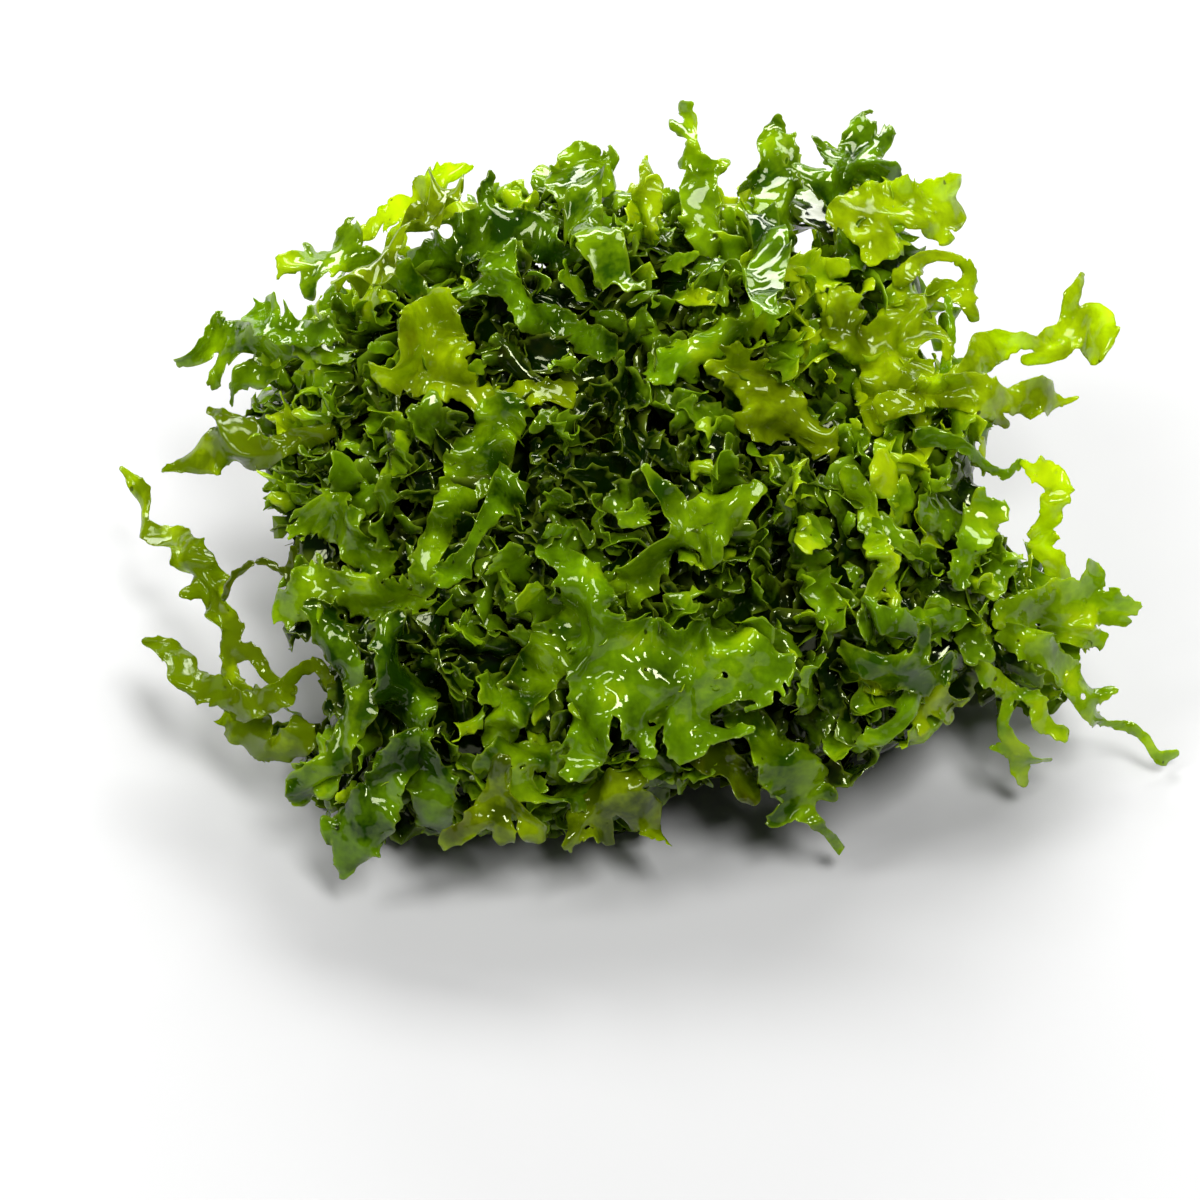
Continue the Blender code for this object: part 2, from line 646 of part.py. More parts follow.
def plain_outline(corners, faces, most_points, coarsest):
    """The sheet's margin, and its larger holes, with few enough points."""
    loops = [corners[loop] for loop in rim_loops(faces)]
    loops.sort(key=loop_area, reverse=True)
    kept = loops[:1] + [loop for loop in loops[1:] if -loop_area(loop) > SMALLEST_HOLE]
    tolerance = FINEST_MARGIN
    while True:
        plain = []
        for loop in kept:
            far = int(np.linalg.norm(loop - loop[0], axis=1).argmax())
            halves = (loop[:far + 1], np.vstack((loop[far:], loop[:1])))
            ends = [straightened(half, tolerance)[:-1] for half in halves]
            plain.append(np.vstack(ends))
        if sum(len(loop) for loop in plain) <= most_points or tolerance > coarsest:
            return plain
        tolerance *= COARSER_STEP


def is_inside(place, loops):
    """Whether a place lies inside the outline and outside its holes."""
    crossings = 0
    for loop in loops:
        ahead = np.roll(loop, -1, axis=0)
        spans = (loop[:, 1] > place[1]) != (ahead[:, 1] > place[1])
        rise = np.where(spans, ahead[:, 1] - loop[:, 1], 1.0)
        where = loop[:, 0] + (place[1] - loop[:, 1]) / rise * (ahead[:, 0] - loop[:, 0])
        crossings += int((spans & (where > place[0])).sum())
    return crossings % 2 == 1


def plain_sheet(loops, inner):
    """Triangles between the outline's points and a few points inside it."""
    points = np.vstack(loops + [inner])
    edges = []
    start = 0
    for loop in loops:
        count = len(loop)
        edges += [(start + index, start + (index + 1) % count) for index in range(count)]
        start += count
    result = delaunay_2d_cdt([Vector(point) for point in points], edges, [], 0, 1e-5)
    corners = np.array([tuple(corner) for corner in result[0]])
    faces = [list(face) for face in result[2] if is_inside(corners[list(face)].mean(axis=0), loops)]
    return corners, faces


def draped(trees, axes, flat, near, clearance):
    """How near each point is once the sheet lies on everything that is under it."""
    down = Vector(-axes[2])
    floor = np.array([lowest_near(axes, place, LOWEST_RIBBON) for place in flat])
    ring = [(0.0, 0.0)] + [(math.cos(turn), math.sin(turn)) for turn in np.arange(6) * math.pi / 3.0]
    probes = (flat[:, None, :] + np.array(ring)[None, :, :] * PROBE_RADIUS).reshape(-1, 2)
    starts = in_space(axes, np.column_stack((probes, np.full(len(probes), FAR_OUT))))
    needed = np.full(len(probes), -1e9)
    for tree in trees:
        for index, start in enumerate(starts):
            hit = tree.ray_cast(Vector(start), down)
            if hit[0] is not None:
                needed[index] = max(needed[index], FAR_OUT - hit[3] + clearance)
    needed = needed.reshape(len(flat), len(ring)).max(axis=1)
    apart = np.linalg.norm(flat[:, None, :] - flat[None, :, :], axis=2)
    slack = DRAPE_SLOPE * np.maximum(0.0, apart - DRAPE_SHELF)
    needed = np.maximum((needed[None, :] - slack).max(axis=1), floor)
    return np.maximum(near, needed)


def grow_thallus(name, tint, axes, ribbons, heap_tree, under, seed):
    """One long thallus: its outline, laid on what is under it, as a sheet with a thickness."""
    route = np.vstack(ribbons)
    low = route[:, :2].min(axis=0) - SHEET_MARGIN
    high = route[:, :2].max(axis=0) + SHEET_MARGIN

    def outline(places):
        distance = np.linalg.norm(places[:, None, :] - route[None, :, :2], axis=2) - route[:, 2]
        half_width = route[distance.argmin(axis=1), 2]
        scallops = np.clip(np.abs(waves(places, SCALLOP_LENGTH, seed)) * 2.0 - 1.0, -1.0, 1.0)
        return distance.min(axis=1) + np.minimum(SCALLOP_DEPTH, SCALLOP_SHARE * half_width) * scallops

    fine_corners, fine_faces = flat_sheet(outline, low, high, SHEET_SPACING)
    wide = route[route[:, 2] > INNER_POINT_WIDTH][::INNER_POINT_STEP]
    inner = wide[:, :2] if len(wide) else np.zeros((0, 2))
    fewest = MARGIN_POINTS + MARGIN_POINTS_PER_MM * ROUTE_STEP * len(route)
    tries = [(clearance, more) for clearance in CLEARANCES for more in FINER_MARGINS]
    for clearance, more in tries:
        loops = plain_outline(fine_corners, fine_faces, fewest * more, COARSEST_MARGIN / more)
        places, faces = plain_sheet(loops, inner)
        gaps = np.linalg.norm(places[:, None, :] - route[None, :, :2], axis=2)
        pull = 1.0 / (gaps ** 2 + BLEND_REACH) ** 3
        near = (pull * route[:, 3]).sum(axis=1) / pull.sum(axis=1)
        edge = np.clip(gaps.min(axis=1) / RUFFLE_REACH, 0.0, 1.0)
        ruffle = RUFFLE_HEIGHT * waves(places, RUFFLE_LENGTH, seed + 1)
        near = near + ruffle * (RUFFLE_MIDDLE + edge)
        laid = draped([heap_tree] + under, axes, places, near, clearance)
        corners = in_space(axes, np.column_stack((places, laid))) * MM
        mesh = bpy.data.meshes.new(name)
        mesh.from_pydata([tuple(corner) for corner in corners], [], faces)
        obj = bpy.data.objects.new(name, mesh)
        clump.objects.link(obj)
        thick = obj.modifiers.new("Thickness", "SOLIDIFY")
        thick.thickness = THALLUS_THICKNESS * MM
        thick.offset = 0.0
        own_tree = mesh_tree(obj, RESTING_GAP / 2.0)
        if is_sound(obj) and not any(own_tree.overlap(tree) for tree in [heap_tree] + under):
            break
        bpy.data.objects.remove(obj, do_unlink=True)
        bpy.data.meshes.remove(mesh)
    else:
        raise ValueError(f"{name} finds no room")
    obj.data.materials.append(tint_material(tint))
    return obj


def packed_heap():
    """The heap under the lobes: round lumps melted together and cut flat where they rest."""
    lumps = bmesh.new()
    for x, y, z, radius in HEAP_LUMPS:
        place = Matrix.Translation(Vector((x, y, z)) * MM)
        bmesh.ops.create_icosphere(lumps, subdivisions=3, radius=radius * MM, matrix=place)
    mesh = bpy.data.meshes.new("tangled_mat")
    lumps.to_mesh(mesh)
    lumps.free()
    heap = bpy.data.objects.new("tangled_mat", mesh)
    clump.objects.link(heap)
    melt = heap.modifiers.new("Melt together", "REMESH")
    melt.mode = "VOXEL"
    melt.voxel_size = HEAP_VOXEL * MM
    soften = heap.modifiers.new("Soften", "SMOOTH")
    soften.iterations = HEAP_SMOOTHING
    melted = bpy.data.meshes.new_from_object(heap.evaluated_get(bpy.context.evaluated_depsgraph_get()))
    heap.modifiers.clear()
    heap.data = melted
    coarse = heap.modifiers.new("Few facets", "DECIMATE")
    coarse.ratio = HEAP_FACETS / (2.0 * len(melted.polygons))
    few = bpy.data.meshes.new_from_object(heap.evaluated_get(bpy.context.evaluated_depsgraph_get()))
    heap.modifiers.clear()

    shape = bmesh.new()
    shape.from_mesh(few)
    shape.normal_update()
    spots = np.array([vertex.co / MM for vertex in shape.verts])
    bumps = waves(spots, HEAP_BUMP_LENGTH, HEAP_SEED) * HEAP_BUMP
    for vertex, bump in zip(shape.verts, bumps):
        vertex.co += vertex.normal * bump * MM
    everything = shape.verts[:] + shape.edges[:] + shape.faces[:]
    bmesh.ops.bisect_plane(
        shape, geom=everything, dist=0.1 * MM, plane_co=(0, 0, 0), plane_no=(0, 0, -1), clear_outer=True
    )
    rim = [edge for edge in shape.edges if edge.is_boundary]
    bmesh.ops.holes_fill(shape, edges=rim, sides=0)
    bmesh.ops.recalc_face_normals(shape, faces=shape.faces[:])
    shape.to_mesh(few)
    shape.free()
    heap.data = few
    heap.data.materials.append(tint_material("mat"))
    return heap


def grow_lobe(draw, root, outward):
    """One short thallus of the mat: a bent tongue with a waist, rooted inside the heap."""
    length = draw.uniform(*LOBE_LENGTH)
    width = draw.uniform(*LOBE_WIDTH)
    lean = Vector(draw.normal(size=3)) * LOBE_LEAN
    out = (outward + lean).normalized()
    side = out.cross(Vector(draw.normal(size=3))).normalized()
    face = out.cross(side)
    curl = draw.uniform(-LOBE_CURL, LOBE_CURL) * length
    waist = draw.uniform(*LOBE_WAIST)
    shape = bmesh.new()
    bmesh.ops.create_grid(shape, x_segments=1, y_segments=3, size=1.0)
    profile = (LOBE_BASE, waist, 1.0, LOBE_TIP)
    for vertex in shape.verts:
        along = (vertex.co.y + 1.0) / 2.0
        half = width / 2.0 * profile[round(along * 3)]
        twist = 0.5 * curl * along * vertex.co.x
        reach = along * (length + LOBE_ROOT) - LOBE_ROOT
        offset = out * reach + side * half * vertex.co.x + face * (curl * along ** 2 + twist)
        vertex.co = (root + offset) * MM
    bmesh.ops.recalc_face_normals(shape, faces=shape.faces[:])
    mesh = bpy.data.meshes.new("mat_lobe")
    shape.to_mesh(mesh)
    shape.free()
    lobe = bpy.data.objects.new("mat_lobe", mesh)
    cutters.objects.link(lobe)
    thick = lobe.modifiers.new("Thickness", "SOLIDIFY")
    thick.thickness = LOBE_THICKNESS * MM
    thick.offset = 0.0
    lobe.hide_render = True
    lobe.display_type = "WIRE"
    return lobe


def scatter_lobes(heap, thallus_trees):
    """Short thalli all over the heap, wherever there is room between the long ones."""
    draw = np.random.default_rng(LOBE_SEED)
    faces = [face for face in heap.data.polygons if face.normal.z > LOWEST_FACING]
    areas = np.array([face.area for face in faces])
    picks = draw.choice(len(faces), size=LOBE_TRIES, p=areas / areas.sum())
    roots = []
    for pick in picks:
        if len(roots) == LOBE_COUNT:
            break
        face = faces[pick]
        spread = Vector(draw.uniform(-1.0, 1.0, 3))
        root = face.center / MM + (spread - face.normal * spread.dot(face.normal)) * LOBE_SCATTER
        if root.z < LOBE_LOWEST + 1.0:
            continue
        if any((root - other).length < LOBE_SPACING for other in roots):
            continue
        lobe = grow_lobe(draw, root, face.normal.copy())
        lowest = min(vertex.co.z for vertex in lobe.data.vertices) / MM
        tree = mesh_tree(lobe, RESTING_GAP)
        if lowest < LOBE_LOWEST or any(tree.overlap(other) for other in thallus_trees):
            bpy.data.objects.remove(lobe, do_unlink=True)
            continue
        roots.append(root)


def back_ribbons(draw, start, heading):
    """A forked ribbon on the far side, grown step by step from its start."""
    angle = math.radians(heading)
    place = np.array(start, float)
    main = []
    for step in range(BACK_STEPS):
        half_width = draw.uniform(*BACK_HALF_WIDTH)
        if step == BACK_STEPS - 1:
            half_width *= BACK_TIP_TAPER
        main.append((*place, half_width))
        angle += math.radians(draw.uniform(-BACK_TURN, BACK_TURN))
        place = place + BACK_STEP_LENGTH * np.array((math.cos(angle), math.sin(angle)))
    fork_at = main[BACK_STEPS // 2]
    fork_angle = angle + math.radians(draw.choice((-BACK_FORK_TURN, BACK_FORK_TURN)))
    fork_way = np.array((math.cos(fork_angle), math.sin(fork_angle)))
    tip = np.array(fork_at[:2]) + BACK_FORK_LENGTH * fork_way
    fork = ((*fork_at[:2], BACK_FORK_HALF_WIDTHS[0]), (*tip, BACK_FORK_HALF_WIDTHS[1]))
    return (tuple(main), fork)


heap = packed_heap()
heap_tree = mesh_tree(heap)
front_axes = view_axes(VIEW_ELEVATION, False)
back_axes = view_axes(BACK_ELEVATION, True)
finished_trees = []

for order, (name, (tint, tip_lift, pixel_ribbons)) in enumerate(THALLI.items()):
    ribbons = []
    for pixel_ribbon in pixel_ribbons:
        points = np.array([
            ((x - MIDDLE_PIXEL[0]) / PIXELS_PER_MM, (MIDDLE_PIXEL[1] - y) / PIXELS_PER_MM, half_width)
            for x, y, half_width in pixel_ribbon
        ])
        root_lift = ROOT_LIFT
        if ribbons:
            trunk = ribbons[0]
            nearest = np.linalg.norm(trunk[:, :2] - points[0, :2], axis=1).argmin()
            root_lift = trunk[nearest, 3] - near_surface(heap_tree, front_axes, points[0, :2])
        ribbons.append(laid_route(heap_tree, front_axes, points, root_lift, tip_lift))
    seed = FRONT_FIRST_SEED + SEEDS_APART * order
    grown = grow_thallus(name, tint, front_axes, ribbons, heap_tree, finished_trees, seed)
    finished_trees.append(mesh_tree(grown))

back_draw = np.random.default_rng(BACK_SEED)
for order, (name, (tint, start, heading)) in enumerate(BACK_THALLI.items()):
    ribbons = []
    for ribbon in back_ribbons(back_draw, start, heading):
        ribbons.append(laid_route(heap_tree, back_axes, np.array(ribbon), ROOT_LIFT, BACK_LIFT))
    seed = BACK_FIRST_SEED + SEEDS_APART * order
    grown = grow_thallus(name, tint, back_axes, ribbons, heap_tree, finished_trees, seed)
    finished_trees.append(mesh_tree(grown))

scatter_lobes(heap, finished_trees)
fuse = heap.modifiers.new("Lobes grown on", "BOOLEAN")
fuse.operation = "UNION"
fuse.operand_type = "COLLECTION"
fuse.collection = cutters
fuse.solver = "EXACT"
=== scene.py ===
import math

import bpy
import numpy as np
from mathutils import Matrix, Vector


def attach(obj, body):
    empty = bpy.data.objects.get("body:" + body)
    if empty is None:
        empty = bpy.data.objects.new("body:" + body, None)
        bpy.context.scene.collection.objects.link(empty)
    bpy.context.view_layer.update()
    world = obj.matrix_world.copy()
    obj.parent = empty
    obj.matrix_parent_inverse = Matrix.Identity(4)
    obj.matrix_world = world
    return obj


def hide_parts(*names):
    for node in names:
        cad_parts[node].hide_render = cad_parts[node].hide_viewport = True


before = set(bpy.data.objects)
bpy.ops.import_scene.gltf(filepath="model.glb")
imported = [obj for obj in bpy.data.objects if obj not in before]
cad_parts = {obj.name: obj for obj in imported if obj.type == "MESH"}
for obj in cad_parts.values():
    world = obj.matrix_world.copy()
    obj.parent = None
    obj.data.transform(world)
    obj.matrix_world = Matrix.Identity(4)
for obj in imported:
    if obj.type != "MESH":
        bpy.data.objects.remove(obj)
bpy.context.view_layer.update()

# Long thalli along the top. Pellia is a liverwort that grows under water: a plant is a thallus, one
# thin ribbon of wet green tissue that forks and has a ruffled margin. Each is cut from a flat net,
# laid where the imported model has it, ruffled and given its thickness.
TOP_THALLI = {
    # finish, youth, share of points in the margin, and ribbons: place in the view, half-width in mm
    "top_knobbed": ("fresh_green", 0.55, 0.2, (
        ((575, 225, 1), (575, 195, 1.3), (575, 170, 1.5), (578, 146, 0.6)),
        ((588, 190, 0.8), (605, 165, 0.85)),
    )),
    "top_tongue": ("yellow_green", 0.45, 0.0, (
        ((650, 235, 0.8), (645, 195, 0.75), (645, 175, 0.8), (644, 160, 0.3)),
    )),
    "tallest": ("fresh_green", 0.75, 0.2, (
        ((706, 245, 1.1), (700, 200, 1.2), (692, 155, 0.7), (690, 133, 0.45), (687, 107, 0.6)),
        ((698, 190, 0.9), (712, 172, 0.6), (725, 160, 0.35)),
        ((690, 138, 0.45), (671, 130, 0.4)),
    )),
    "upright_top": ("fresh_green", 0.38, 0.5, (
        ((778, 240, 1.1), (770, 195, 1.1), (767, 172, 1.1), (775, 140, 0.85), (778, 119, 0.4)),
        ((772, 212, 1.0), (790, 188, 0.9), (797, 160, 0.7), (792, 142, 0.4)),
        ((768, 190, 1.0), (750, 172, 0.8), (741, 186, 0.4)),
    )),
    "crested_top": ("deep_green", 0.5, 1.0, (
        ((842, 235, 1.3), (832, 182, 1.5), (848, 142, 1.3), (862, 126, 0.7)),
        ((836, 168, 1.1), (818, 150, 0.8), (814, 134, 0.4)),
        ((850, 155, 1.2), (890, 133, 0.6)),
        ((846, 180, 1.2), (900, 162, 0.7)),
        ((836, 205, 1.2), (812, 184, 1.0), (800, 172, 0.5)),
        ((848, 215, 1.2), (882, 190, 0.9), (893, 180, 0.4)),
    )),
    "broad_top_right": ("yellow_green", 0.7, 0.4, (
        ((845, 225, 1.2), (888, 207, 1.6), (925, 205, 1.8), (950, 184, 0.8)),
        ((915, 208, 1.5), (945, 212, 1.1), (957, 216, 0.7)),
        ((918, 212, 1.3), (945, 235, 0.6)),
        ((880, 215, 1.5), (874, 240, 1.6), (868, 262, 0.9)),
    )),
    "yellow_top_left": ("yellow_green", 0.75, 0.0, (
        (
            (490, 222, 0.9), (455, 206, 0.8), (430, 196, 0.9), (405, 206, 1), (375, 222, 0.8),
            (346, 240, 0.5),
        ),
        ((418, 198, 0.9), (422, 180, 1), (437, 169, 0.9), (463, 167, 0.4)),
        ((403, 214, 0.7), (400, 240, 0.7), (386, 254, 0.5)),
    )),
    "dark_top_left": ("deep_green", 0.35, 0.8, (
        ((565, 262, 1.3), (520, 236, 1.8), (470, 240, 1.8), (430, 256, 1.3), (400, 268, 0.6)),
        ((500, 228, 1.3), (486, 200, 0.9), (494, 178, 0.4)),
    )),
}

# A place in the view is a pixel of its 1200 pixel frame. It becomes millimetres across and up the
# view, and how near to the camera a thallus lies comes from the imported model.
MM = 0.001
PIXELS_PER_MM = 14.3
MIDDLE_PIXEL = np.array((645.0, 487.0))
VIEW_MIDDLE = np.array((0.0, 0.0, 18.0))
VIEW_ELEVATION = math.radians(48.0)
ACROSS = np.array((1.0, 0.0, 0.0))
UP = np.array((0.0, math.sin(VIEW_ELEVATION), math.cos(VIEW_ELEVATION)))
TOWARDS = np.array((0.0, -math.cos(VIEW_ELEVATION), math.sin(VIEW_ELEVATION)))
FRONT = np.stack((ACROSS, UP, TOWARDS))


def from_pixels(points):
    """Points in millimetres across and up the view, from pixels. Other values of a point stay."""
    return [
        ((x - MIDDLE_PIXEL[0]) / PIXELS_PER_MM, (MIDDLE_PIXEL[1] - y) / PIXELS_PER_MM, *rest)
        for x, y, *rest in points
    ]


# The tissue goes from deep green over young green to lime at its tips, in clouds and flecks. Its
# youth value also carries painted shade, deep in the heap and in the clump's middle, and painted
# backlight at the clump's edges. Along its thin margin a rim is painted: a pale highlight, but dark
# edge-on shade on the yellow-green finish. It has old brown patches and dark dots, and light comes
# through it.
CLOUD_SCALE = 420.0
CLOUD_DETAIL = 3.0
CLOUD_TONES = (1.8, -0.98)
FLECK_SCALE = 2600.0
FLECK_DETAIL = 2.0
FLECK_TONES = (0.5, -0.25)
LIME_YOUTH = (0.75, 1.7)
PATCH_SCALE = 230.0
PATCH_DETAIL = 4.0
PATCH_ROUGHNESS = 0.6
PATCH_LIMITS = (0.56, 0.72)
# share of the painted rim: a pale highlight along the margin, dark edge-on shade on the yellow-green
PAINTED_RIM_SHARE = 0.3
DOT_SCALE = 620.0
DOT_SIZES = (0.5, -0.33)
DOT_EDGE = 0.05
DOT_SHARE = 0.85
DOT_COLOUR = (0.006, 0.008, 0.002, 1.0)
THROUGH_GAMMA = 0.36
THROUGH_TINT = (1.14, 1.32, 0.03, 1.0)


def added(tree, kind, inputs, output=0, **settings):
    """An output of a new shader node. Its inputs are numbers, colours or outputs of other nodes."""
    node = tree.nodes.new("ShaderNode" + kind)
    for setting, value in settings.items():
        setattr(node, setting, value)
    for socket, value in inputs.items():
        if isinstance(value, bpy.types.NodeSocket):
            tree.links.new(value, node.inputs[socket])
        else:
            node.inputs[socket].default_value = value
    return node.outputs[output]


def noise(tree, place, scale, detail, roughness=0.5):
    """A cloudy value that changes from place to place."""
    inputs = {"Vector": place, "Scale": scale, "Detail": detail, "Roughness": roughness}
    return added(tree, "TexNoise", inputs, "Fac")


def maths(tree, operation, *values, clamp=False):
    """The result of a sum or product of values."""
    return added(tree, "Math", dict(enumerate(values)), operation=operation, use_clamp=clamp)


def between(tree, value, low, high):
    """Where a value lies between two others, from 0 to 1, with soft ends."""
    inputs = {"Value": value, "From Min": low, "From Max": high}
    return added(tree, "MapRange", inputs, "Result", interpolation_type="SMOOTHSTEP")


def blended(tree, share, first, second, kind="MIX"):
    """A mix of two colours."""
    inputs = {0: share, 6: first, 7: second}
    return added(tree, "Mix", inputs, 2, data_type="RGBA", blend_type=kind)


def speckles(tree, place, scale, size_range, least_size, edge):
    """Round spots of random sizes, which fade out over their edge."""
    distance = added(tree, "TexVoronoi", {"Vector": place, "Scale": scale}, "Distance")
    chance = added(tree, "SeparateColor", {"Color": distance.node.outputs["Color"]}, "Red")
    size = maths(tree, "MULTIPLY_ADD", chance, size_range, least_size)
    return between(tree, maths(tree, "SUBTRACT", size, distance), 0.0, edge)


def group_of(name, inputs, outputs):
    """A shader node group with its sockets, what it is given and what it puts out."""
    tree = bpy.data.node_groups.new(name, "ShaderNodeTree")
    for way, sockets in (("INPUT", inputs), ("OUTPUT", outputs)):
        for label, kind in sockets.items():
            tree.interface.new_socket(label, in_out=way, socket_type="NodeSocket" + kind)
    return tree, tree.nodes.new("NodeGroupInput").outputs, tree.nodes.new("NodeGroupOutput").inputs


def tissue_group():
    """The colour of the tissue, and of the light that comes through it."""
    inputs = {
        "Place": "Vector", "Youth And Shade": "Float", "Margin": "Float", "Deep": "Color", "Young": "Color",
        "Lime": "Color", "Old": "Color", "Old Share": "Float", "Painted Rim": "Color",
    }
    tree, given, out = group_of("thallus tissue", inputs, {"Color": "Color", "Through": "Color"})
    place = given["Place"]
    clouds = maths(tree, "MULTIPLY_ADD", noise(tree, place, CLOUD_SCALE, CLOUD_DETAIL), *CLOUD_TONES)
    flecks = maths(tree, "MULTIPLY_ADD", noise(tree, place, FLECK_SCALE, FLECK_DETAIL), *FLECK_TONES)
    # the youth value brings painted shade and painted backlight along with youth; clouds and flecks vary it
    youth_and_shade = maths(tree, "ADD", maths(tree, "ADD", given["Youth And Shade"], clouds), flecks)
    colour = blended(tree, maths(tree, "MULTIPLY", youth_and_shade, 1.0, clamp=True), given["Deep"], given["Young"])
    colour = blended(tree, between(tree, youth_and_shade, *LIME_YOUTH), colour, given["Lime"])
    patches = between(tree, noise(tree, place, PATCH_SCALE, PATCH_DETAIL, PATCH_ROUGHNESS), *PATCH_LIMITS)
    colour = blended(tree, maths(tree, "MULTIPLY", patches, given["Old Share"]), colour, given["Old"])
    # the margin gets a painted rim: a pale highlight, but dark edge-on shade on the yellow-green finish
    colour = blended(tree, maths(tree, "MULTIPLY", given["Margin"], PAINTED_RIM_SHARE), colour, given["Painted Rim"])
    dots = maths(tree, "MULTIPLY", speckles(tree, place, DOT_SCALE, *DOT_SIZES, DOT_EDGE), DOT_SHARE)
    colour = blended(tree, dots, colour, DOT_COLOUR)
    glow = added(tree, "Gamma", {"Color": colour, "Gamma": THROUGH_GAMMA})
    tree.links.new(colour, out["Color"])
    tree.links.new(blended(tree, 1.0, glow, THROUGH_TINT, "MULTIPLY"), out["Through"])
    return tree


# A film of water lies on every thallus, with ripples and small beads, and a gloss that is patchy.
RIPPLE_SCALE = 430.0
RIPPLE_DETAIL = 2.0
RIPPLE_ROUGHNESS = 0.45
BEAD_SCALE = 850.0
BEAD_SIZES = (0.7, -0.36)
BEAD_EDGE = 0.16
BEAD_HEIGHT = 0.4
GLOSS_SCALE = 700.0
GLOSS_DETAIL = 2.0
GLOSS_TONES = (1.6, 0.1)
FILM_DEPTH = 0.24
FILM_STRENGTH = 0.7
FILM_IOR = 1.5
FILM_TINT = (0.92, 1.0, 0.62, 1.0)


def water_group():
    """The film of water: its ripples and beads as a height, and its roughness."""
    outputs = {"Height": "Float", "Roughness": "Float"}
    tree, given, out = group_of("water film", {"Place": "Vector", "Dullness": "Float"}, outputs)
    place = given["Place"]
    ripples = noise(tree, place, RIPPLE_SCALE, RIPPLE_DETAIL, RIPPLE_ROUGHNESS)
    beads = speckles(tree, place, BEAD_SCALE, *BEAD_SIZES, BEAD_EDGE)
    tree.links.new(maths(tree, "MULTIPLY_ADD", beads, BEAD_HEIGHT, ripples), out["Height"])
    patchy = maths(tree, "MULTIPLY_ADD", noise(tree, place, GLOSS_SCALE, GLOSS_DETAIL), *GLOSS_TONES)
    tree.links.new(maths(tree, "MULTIPLY", given["Dullness"], patchy), out["Roughness"])
    return tree


tissue = tissue_group()
water = water_group()
# the rim colour of a finish is painted along each margin: a pale highlight, dark edge-on shade on the
# yellow-green
FINISHES = {
    "deep_green": {
        "Deep": (0.008, 0.030, 0.0001), "Young": (0.140, 0.280, 0.001), "Lime": (0.330, 0.470, 0.002),
        "Old": (0.055, 0.065, 0.001), "Painted Rim": (0.300, 0.430, 0.020),
        "Old Share": 0.20, "Dullness": 0.08, "Through": 0.25,
    },
    "fresh_green": {
        "Deep": (0.018, 0.056, 0.0002), "Young": (0.210, 0.355, 0.001), "Lime": (0.440, 0.560, 0.002),
        "Old": (0.090, 0.105, 0.001), "Painted Rim": (0.340, 0.460, 0.020),
        "Old Share": 0.20, "Dullness": 0.08, "Through": 0.30,
    },
    "yellow_green": {
        "Deep": (0.105, 0.150, 0.0003), "Young": (0.470, 0.600, 0.002), "Lime": (0.640, 0.740, 0.004),
        "Old": (0.180, 0.170, 0.002), "Painted Rim": (0.110, 0.120, 0.003),
        "Old Share": 0.20, "Dullness": 0.13, "Through": 0.50,
    },
}


def wet_thallus(finish):
    """The material of a finish: wet green tissue that lets light through."""
    name = "wet " + finish.replace("_", " ")
    if name in bpy.data.materials:
        return bpy.data.materials[name]
    values = FINISHES[finish]
    material = bpy.data.materials.new(name)
    material.use_nodes = True
    tree = material.node_tree
    place = added(tree, "TexCoord", {}, "Object")
    inputs = {label: (*values[label], 1.0) for label in ("Deep", "Young", "Lime", "Old", "Painted Rim")}
    inputs["Place"] = place
    inputs["Youth And Shade"] = added(tree, "Attribute", {}, "Fac", attribute_name="youth_and_shade")
    inputs["Margin"] = added(tree, "Attribute", {}, "Fac", attribute_name="margin")
    inputs["Old Share"] = values["Old Share"]
    colour = added(tree, "Group", inputs, "Color", node_tree=tissue)
    inputs = {"Place": place, "Dullness": values["Dullness"]}
    height = added(tree, "Group", inputs, "Height", node_tree=water)
    inputs = {"Height": height, "Strength": FILM_STRENGTH, "Distance": FILM_DEPTH * MM}
    normal = added(tree, "Bump", inputs, "Normal")
    skin = tree.nodes["Principled BSDF"]
    tree.links.new(colour, skin.inputs["Base Color"])
    tree.links.new(height.node.outputs["Roughness"], skin.inputs["Roughness"])
    tree.links.new(normal, skin.inputs["Normal"])
    skin.inputs["IOR"].default_value = FILM_IOR
    skin.inputs["Specular Tint"].default_value = FILM_TINT
    glow = added(tree, "BsdfTranslucent", {"Color": colour.node.outputs["Through"], "Normal": normal})
    both = added(tree, "MixShader", {0: values["Through"], 1: skin.outputs["BSDF"], 2: glow})
    tree.links.new(both, tree.nodes["Material Output"].inputs["Surface"])
    return material


# An outline is cut from a flat net of small triangles: the corners close to it snap to it, and the
# triangles that it crosses are cut. What isn't joined to the largest part falls away.
WAVE_COUNT = 6
WAVE_SPREAD = (0.7, 1.3)
SNAP_SHARE = 0.3
NUDGE = 0.02
TINY = 1e-9


def waves(points, wavelength, seed):
    """A smooth random field, mostly between -1 and 1, made of crossed waves."""
    draw = np.random.default_rng(seed)
    pulls = draw.normal(size=(points.shape[1], WAVE_COUNT))
    pulls *= 2.0 * math.pi / wavelength / np.linalg.norm(pulls, axis=0)
    pulls *= draw.uniform(*WAVE_SPREAD, WAVE_COUNT)
    starts = draw.uniform(0.0, 2.0 * math.pi, WAVE_COUNT)
    return np.sin(points @ pulls + starts).sum(axis=1) / math.sqrt(WAVE_COUNT)


